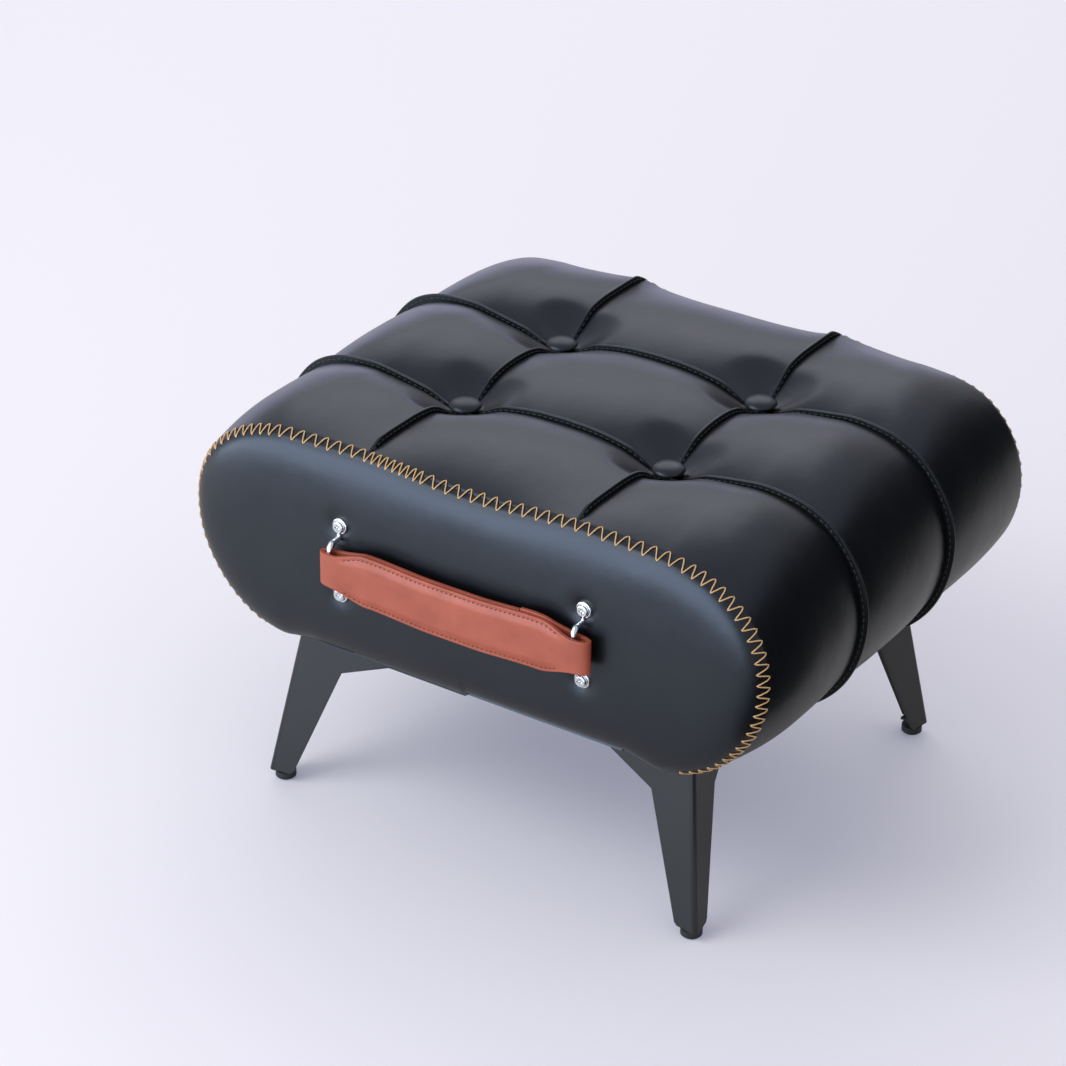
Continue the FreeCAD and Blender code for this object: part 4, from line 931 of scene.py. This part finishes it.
# Strap handle: one band of terracotta saddle leather, looped round both bars and butted together behind.
# Its edges are pinched together over the filler and sewn; the loops at the ends stay open round the bars.
saddle_leather, tree, shader = finish("terracotta_saddle_leather", "#A7503A", 0.5)
mm_place = place_in_mm(tree)
pores = add_node(
    tree, "ShaderNodeTexNoise", {"Scale": 1.1, "Detail": 5, "Roughness": 0.65}, {"Vector": mm_place}
)
cloudy = add_node(tree, "ShaderNodeTexNoise", {"Scale": 0.06, "Detail": 3}, {"Vector": mm_place})
two_tone(tree, shader, cloudy.outputs["Fac"], "#9A4429", "#AE5338", 0.3, 0.75)
emboss(tree, shader, pores.outputs["Fac"], 0.3, 0.12)
dress(saddle_leather, "strap_filler")

strap_low, strap_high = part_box("handle_strap")
STRAP_X = (strap_low.x + strap_high.x) / 2 / MM
STRAP_Y = (strap_low.y + strap_high.y) / 2 / MM
STRAP_Z = (strap_low.z + strap_high.z) / 2 / MM
STRAP_HALF_LENGTH = (strap_high.x - strap_low.x) / 2 / MM
STRAP_WIDE = 17.6
STRAP_SLIM = 11.2
STRAP_LEATHER = 2.6
LOOP_RADIUS = 5.2 - STRAP_LEATHER / 2
# The loops are longer than they are deep
LOOP_LONG = 10.6
LOOP_X = STRAP_HALF_LENGTH - LOOP_LONG - STRAP_LEATHER / 2
STRAP_JOINT = 48.5
STRAP_JOINT_GAP = 0.3
# From the bars' plane to the middle of each layer, along the strap's middle and at its sewn edges
LAYER_MIDDLE = 2.75
LAYER_EDGE = 1.42
STITCH_PITCH = 3.3
STITCH_INSET = 2.5
STRAP_STITCH = 2.3


def half_width(x):
    """Half the strap's width, by distance from its middle."""
    return STRAP_WIDE + (STRAP_SLIM - STRAP_WIDE) * smooth_step(np.abs(x), 64, 91)


def middle_height(x):
    """Height of the strap's middle line: its ends hang higher on the bars than its middle."""
    return STRAP_Z + 2.1 * smooth_step(np.abs(x), 15, 62) + 0.7 * smooth_step(np.abs(x), 70, 90)


def layer_depth(x, across):
    """How far each layer's middle stands from the bars' plane; across is from -1 to 1 over the width."""
    far = np.abs(x)
    flare = smooth_step(far, 68, LOOP_X)
    middle = LAYER_MIDDLE + (LOOP_RADIUS - LAYER_MIDDLE) * flare
    edge = LAYER_EDGE + (LOOP_RADIUS - LAYER_EDGE) * flare
    # The thread draws the leather in, stitch by stitch
    from_row = half_width(x) * (1 - np.abs(across)) - STITCH_INSET
    wave = 0.09 * (1 - np.cos(2 * math.pi * (x + 84) / STITCH_PITCH)) * (1 - smooth_step(far, 76, 82))
    groove = 0.16 * np.exp(-((from_row / 0.9) ** 2)) * (far < 80)
    pucker = wave * np.exp(-((from_row / 1.4) ** 2)) - groove
    return middle + (edge - middle) * smooth_step(np.abs(across), 0.55, 0.92) + pucker


def strap_point(x, across, layer, lift=0.0):
    """A point of the strap's front (layer -1) or back (layer 1) in metres."""
    depth = layer * (layer_depth(x, across) + lift)
    z = middle_height(x) + across * half_width(x)
    # Behind, the end that butts against the joint stands a little higher
    if layer > 0:
        z = z + 1.1 * np.maximum(across, 0) * (np.asarray(x) > STRAP_JOINT) * (1 - smooth_step(x, 56, 80))
    return np.stack(np.broadcast_arrays(STRAP_X + x, STRAP_Y + depth, z), axis=-1) * MM


def strap_rows(start, end, layer, count):
    """Rows across one layer of the strap, from one place along it to another."""
    return [strap_point(np.full_like(across, x), across, layer) for x in np.linspace(start, end, count)]


across = np.concatenate([[-1], np.linspace(-0.93, 0.93, 59), [1]])
turn = np.linspace(0, math.pi, 25)[1:-1]
rows = strap_rows(STRAP_JOINT + STRAP_JOINT_GAP, LOOP_X, 1, 64)
for side in (1, -1):
    for angle in turn:
        x = side * (LOOP_X + LOOP_LONG * math.sin(angle))
        y = STRAP_Y + side * LOOP_RADIUS * math.cos(angle)
        z = middle_height(x) + across * half_width(x)
        rows.append(np.stack(np.broadcast_arrays(STRAP_X + x, y, z), axis=-1) * MM)
    if side > 0:
        rows += strap_rows(LOOP_X, -LOOP_X, -1, 330)
rows += strap_rows(-LOOP_X, STRAP_JOINT - STRAP_JOINT_GAP, 1, 240)
band = grid_object("handle_strap_leather", np.array(rows))
apply(band, "SOLIDIFY", thickness=STRAP_LEATHER * MM, offset=0, use_even_offset=True)
apply(band, "BEVEL", width=0.95 * MM, segments=4, limit_method="ANGLE", angle_limit=math.radians(60))
face_outwards(band)
band.data.materials.append(saddle_leather)
shade(band, 40)
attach(band, "handle")
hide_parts("handle_strap")

# Strap stitches: rust thread, darker than the leather, sewn through both layers 2.5 mm inside both edges.
# They show on the front and on the back, each sunk into the leather at its ends.
rust_thread = thread_finish(
    "rust_thread", "#6E2C20", 0.6, scale=0.8, distortion=0.5, strength=0.5, depth=0.1
)
paths = []
for layer in (-1, 1):
    for edge in (-1, 1):
        for x in np.arange(-79.9, 78, STITCH_PITCH):
            steps = np.linspace(x, x + STRAP_STITCH, 6)
            sink = STRAP_LEATHER / 2 + np.array([-0.5, -0.05, 0.12, 0.12, -0.05, -0.5])
            paths.append(strap_point(steps, edge * (1 - STITCH_INSET / half_width(steps)), layer, sink))
strap_stitches = tubes_object("strap_stitches", paths, STITCH_RADIUS * MM, 6)
strap_stitches.data.materials.append(rust_thread)
shade(strap_stitches, 80)
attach(strap_stitches, "handle")

# Stage: a pale paper floor, which gives the camera a little light of its own, and the camera at the
# photograph's view
paper, tree, shader = finish("pale_paper", "#E1DCD7", 0.85, Emission_Color=linear("#CAD2FF"))
path_kind = add_node(tree, "ShaderNodeLightPath")
lift = add_node(
    tree, "ShaderNodeMath", {"operation": "MULTIPLY", 1: 0.2}, {0: path_kind.outputs["Is Camera Ray"]}
)
tree.links.new(lift.outputs[0], shader.inputs["Emission Strength"])
bpy.ops.object.select_all(action="DESELECT")
bpy.ops.mesh.primitive_plane_add(size=14, location=(0, 2, 0))
floor = bpy.context.object
floor.name = "paper_floor"
floor.data.materials.append(paper)

camera_data = bpy.data.cameras.new("photo_camera")
camera = bpy.data.objects.new("photo_camera", camera_data)
bpy.context.scene.collection.objects.link(camera)
SENSOR_WIDTH = 36
FOCAL_PIXELS = 3293.3
IMAGE_PIXELS = 1066
camera_data.sensor_width = SENSOR_WIDTH
camera_data.lens = FOCAL_PIXELS * SENSOR_WIDTH / IMAGE_PIXELS
camera_data.clip_end = 50
right = Vector((0.8314, 0.5555, 0.0146))
up = Vector((-0.2766, 0.3910, 0.8778))
forward = Vector((-0.4819, 0.7339, -0.4787))
turn = Matrix((right, up, -forward)).transposed().to_4x4()
camera.matrix_world = Matrix.Translation(Vector((992.2, -1601.7 + SEAT_Y, 1195.0)) * MM) @ turn
bpy.context.scene.camera = camera

# Light: a large window behind on the left, a soft key in front on the left, a low softbox that lights the
# front panel, and a pale room
world = bpy.data.worlds.new("pale_room")
bpy.context.scene.world = world
world.use_nodes = True
tree = world.node_tree
background = tree.nodes["Background"]
background.inputs["Color"].default_value = linear("#E9EAF3")
background.inputs["Strength"].default_value = 0.8


def area_light(name, place, target, size, power, colour="#FFFFFF"):
    """A soft light that the camera doesn't see, turned to a target."""
    data = bpy.data.lights.new(name, "AREA")
    data.shape = "RECTANGLE"
    data.size, data.size_y = size
    data.energy = power
    data.color = linear(colour)[:3]
    lamp = bpy.data.objects.new(name, data)
    bpy.context.scene.collection.objects.link(lamp)
    lamp.location = place
    lamp.rotation_euler = (Vector(target) - Vector(place)).to_track_quat("-Z", "Y").to_euler()
    lamp.visible_camera = False


area_light("window", (-1.2, 1.8, 2.2), (0, 0, 0.2), (2.4, 1.8), 15.5)
area_light("front_key", (-1.1, -1.7, 2.1), (0, -0.3, 0.0), (1.8, 1.2), 30, "#F2F6FF")
area_light("low_softbox", (-0.75, -1.35, 0.17), (0, -0.15, 0.2), (1.8, 0.28), 7.5, "#DDECFF")
# Black flags beside the right end, and bright cards in front and low behind on the left: they are seen
# only in the seat's reflections
flag_cloth = finish("black_flag", "#030303", 0.9)[0]
front_glow = finish(
    "front_card_glow", "#808080", 0.9, Emission_Color=linear("#DFEDFF"), Emission_Strength=5.0
)[0]
back_glow = finish(
    "back_card_glow", "#808080", 0.9, Emission_Color=linear("#DADAFF"), Emission_Strength=1.25
)[0]
for name, size, place, lean, cloth in (
    ("floor_flag", (1.4, 1.8), (1.15, 0.16, 0.02), (0, 0, math.radians(-22)), flag_cloth),
    ("wall_flag", (2.6, 1.4), (1.3, 1.1, 0.71), (math.pi / 2, 0, math.radians(-50)), flag_cloth),
    ("front_card", (3.0, 1.75), (-1.1, -1.4, 0.78), (math.radians(126), 0, 0), front_glow),
    ("back_card", (3.0, 0.8), (-1.5, 1.35, 0.32), (math.pi / 2, 0, math.radians(48)), back_glow),
):
    bpy.ops.object.select_all(action="DESELECT")
    bpy.ops.mesh.primitive_plane_add(size=1, location=place, rotation=lean)
    flag = bpy.context.object
    flag.name = name
    flag.scale = (*size, 1)
    flag.data.materials.append(cloth)
    flag.visible_camera = flag.visible_diffuse = flag.visible_shadow = flag.visible_transmission = False
bpy.context.scene.view_settings.view_transform = "Standard"
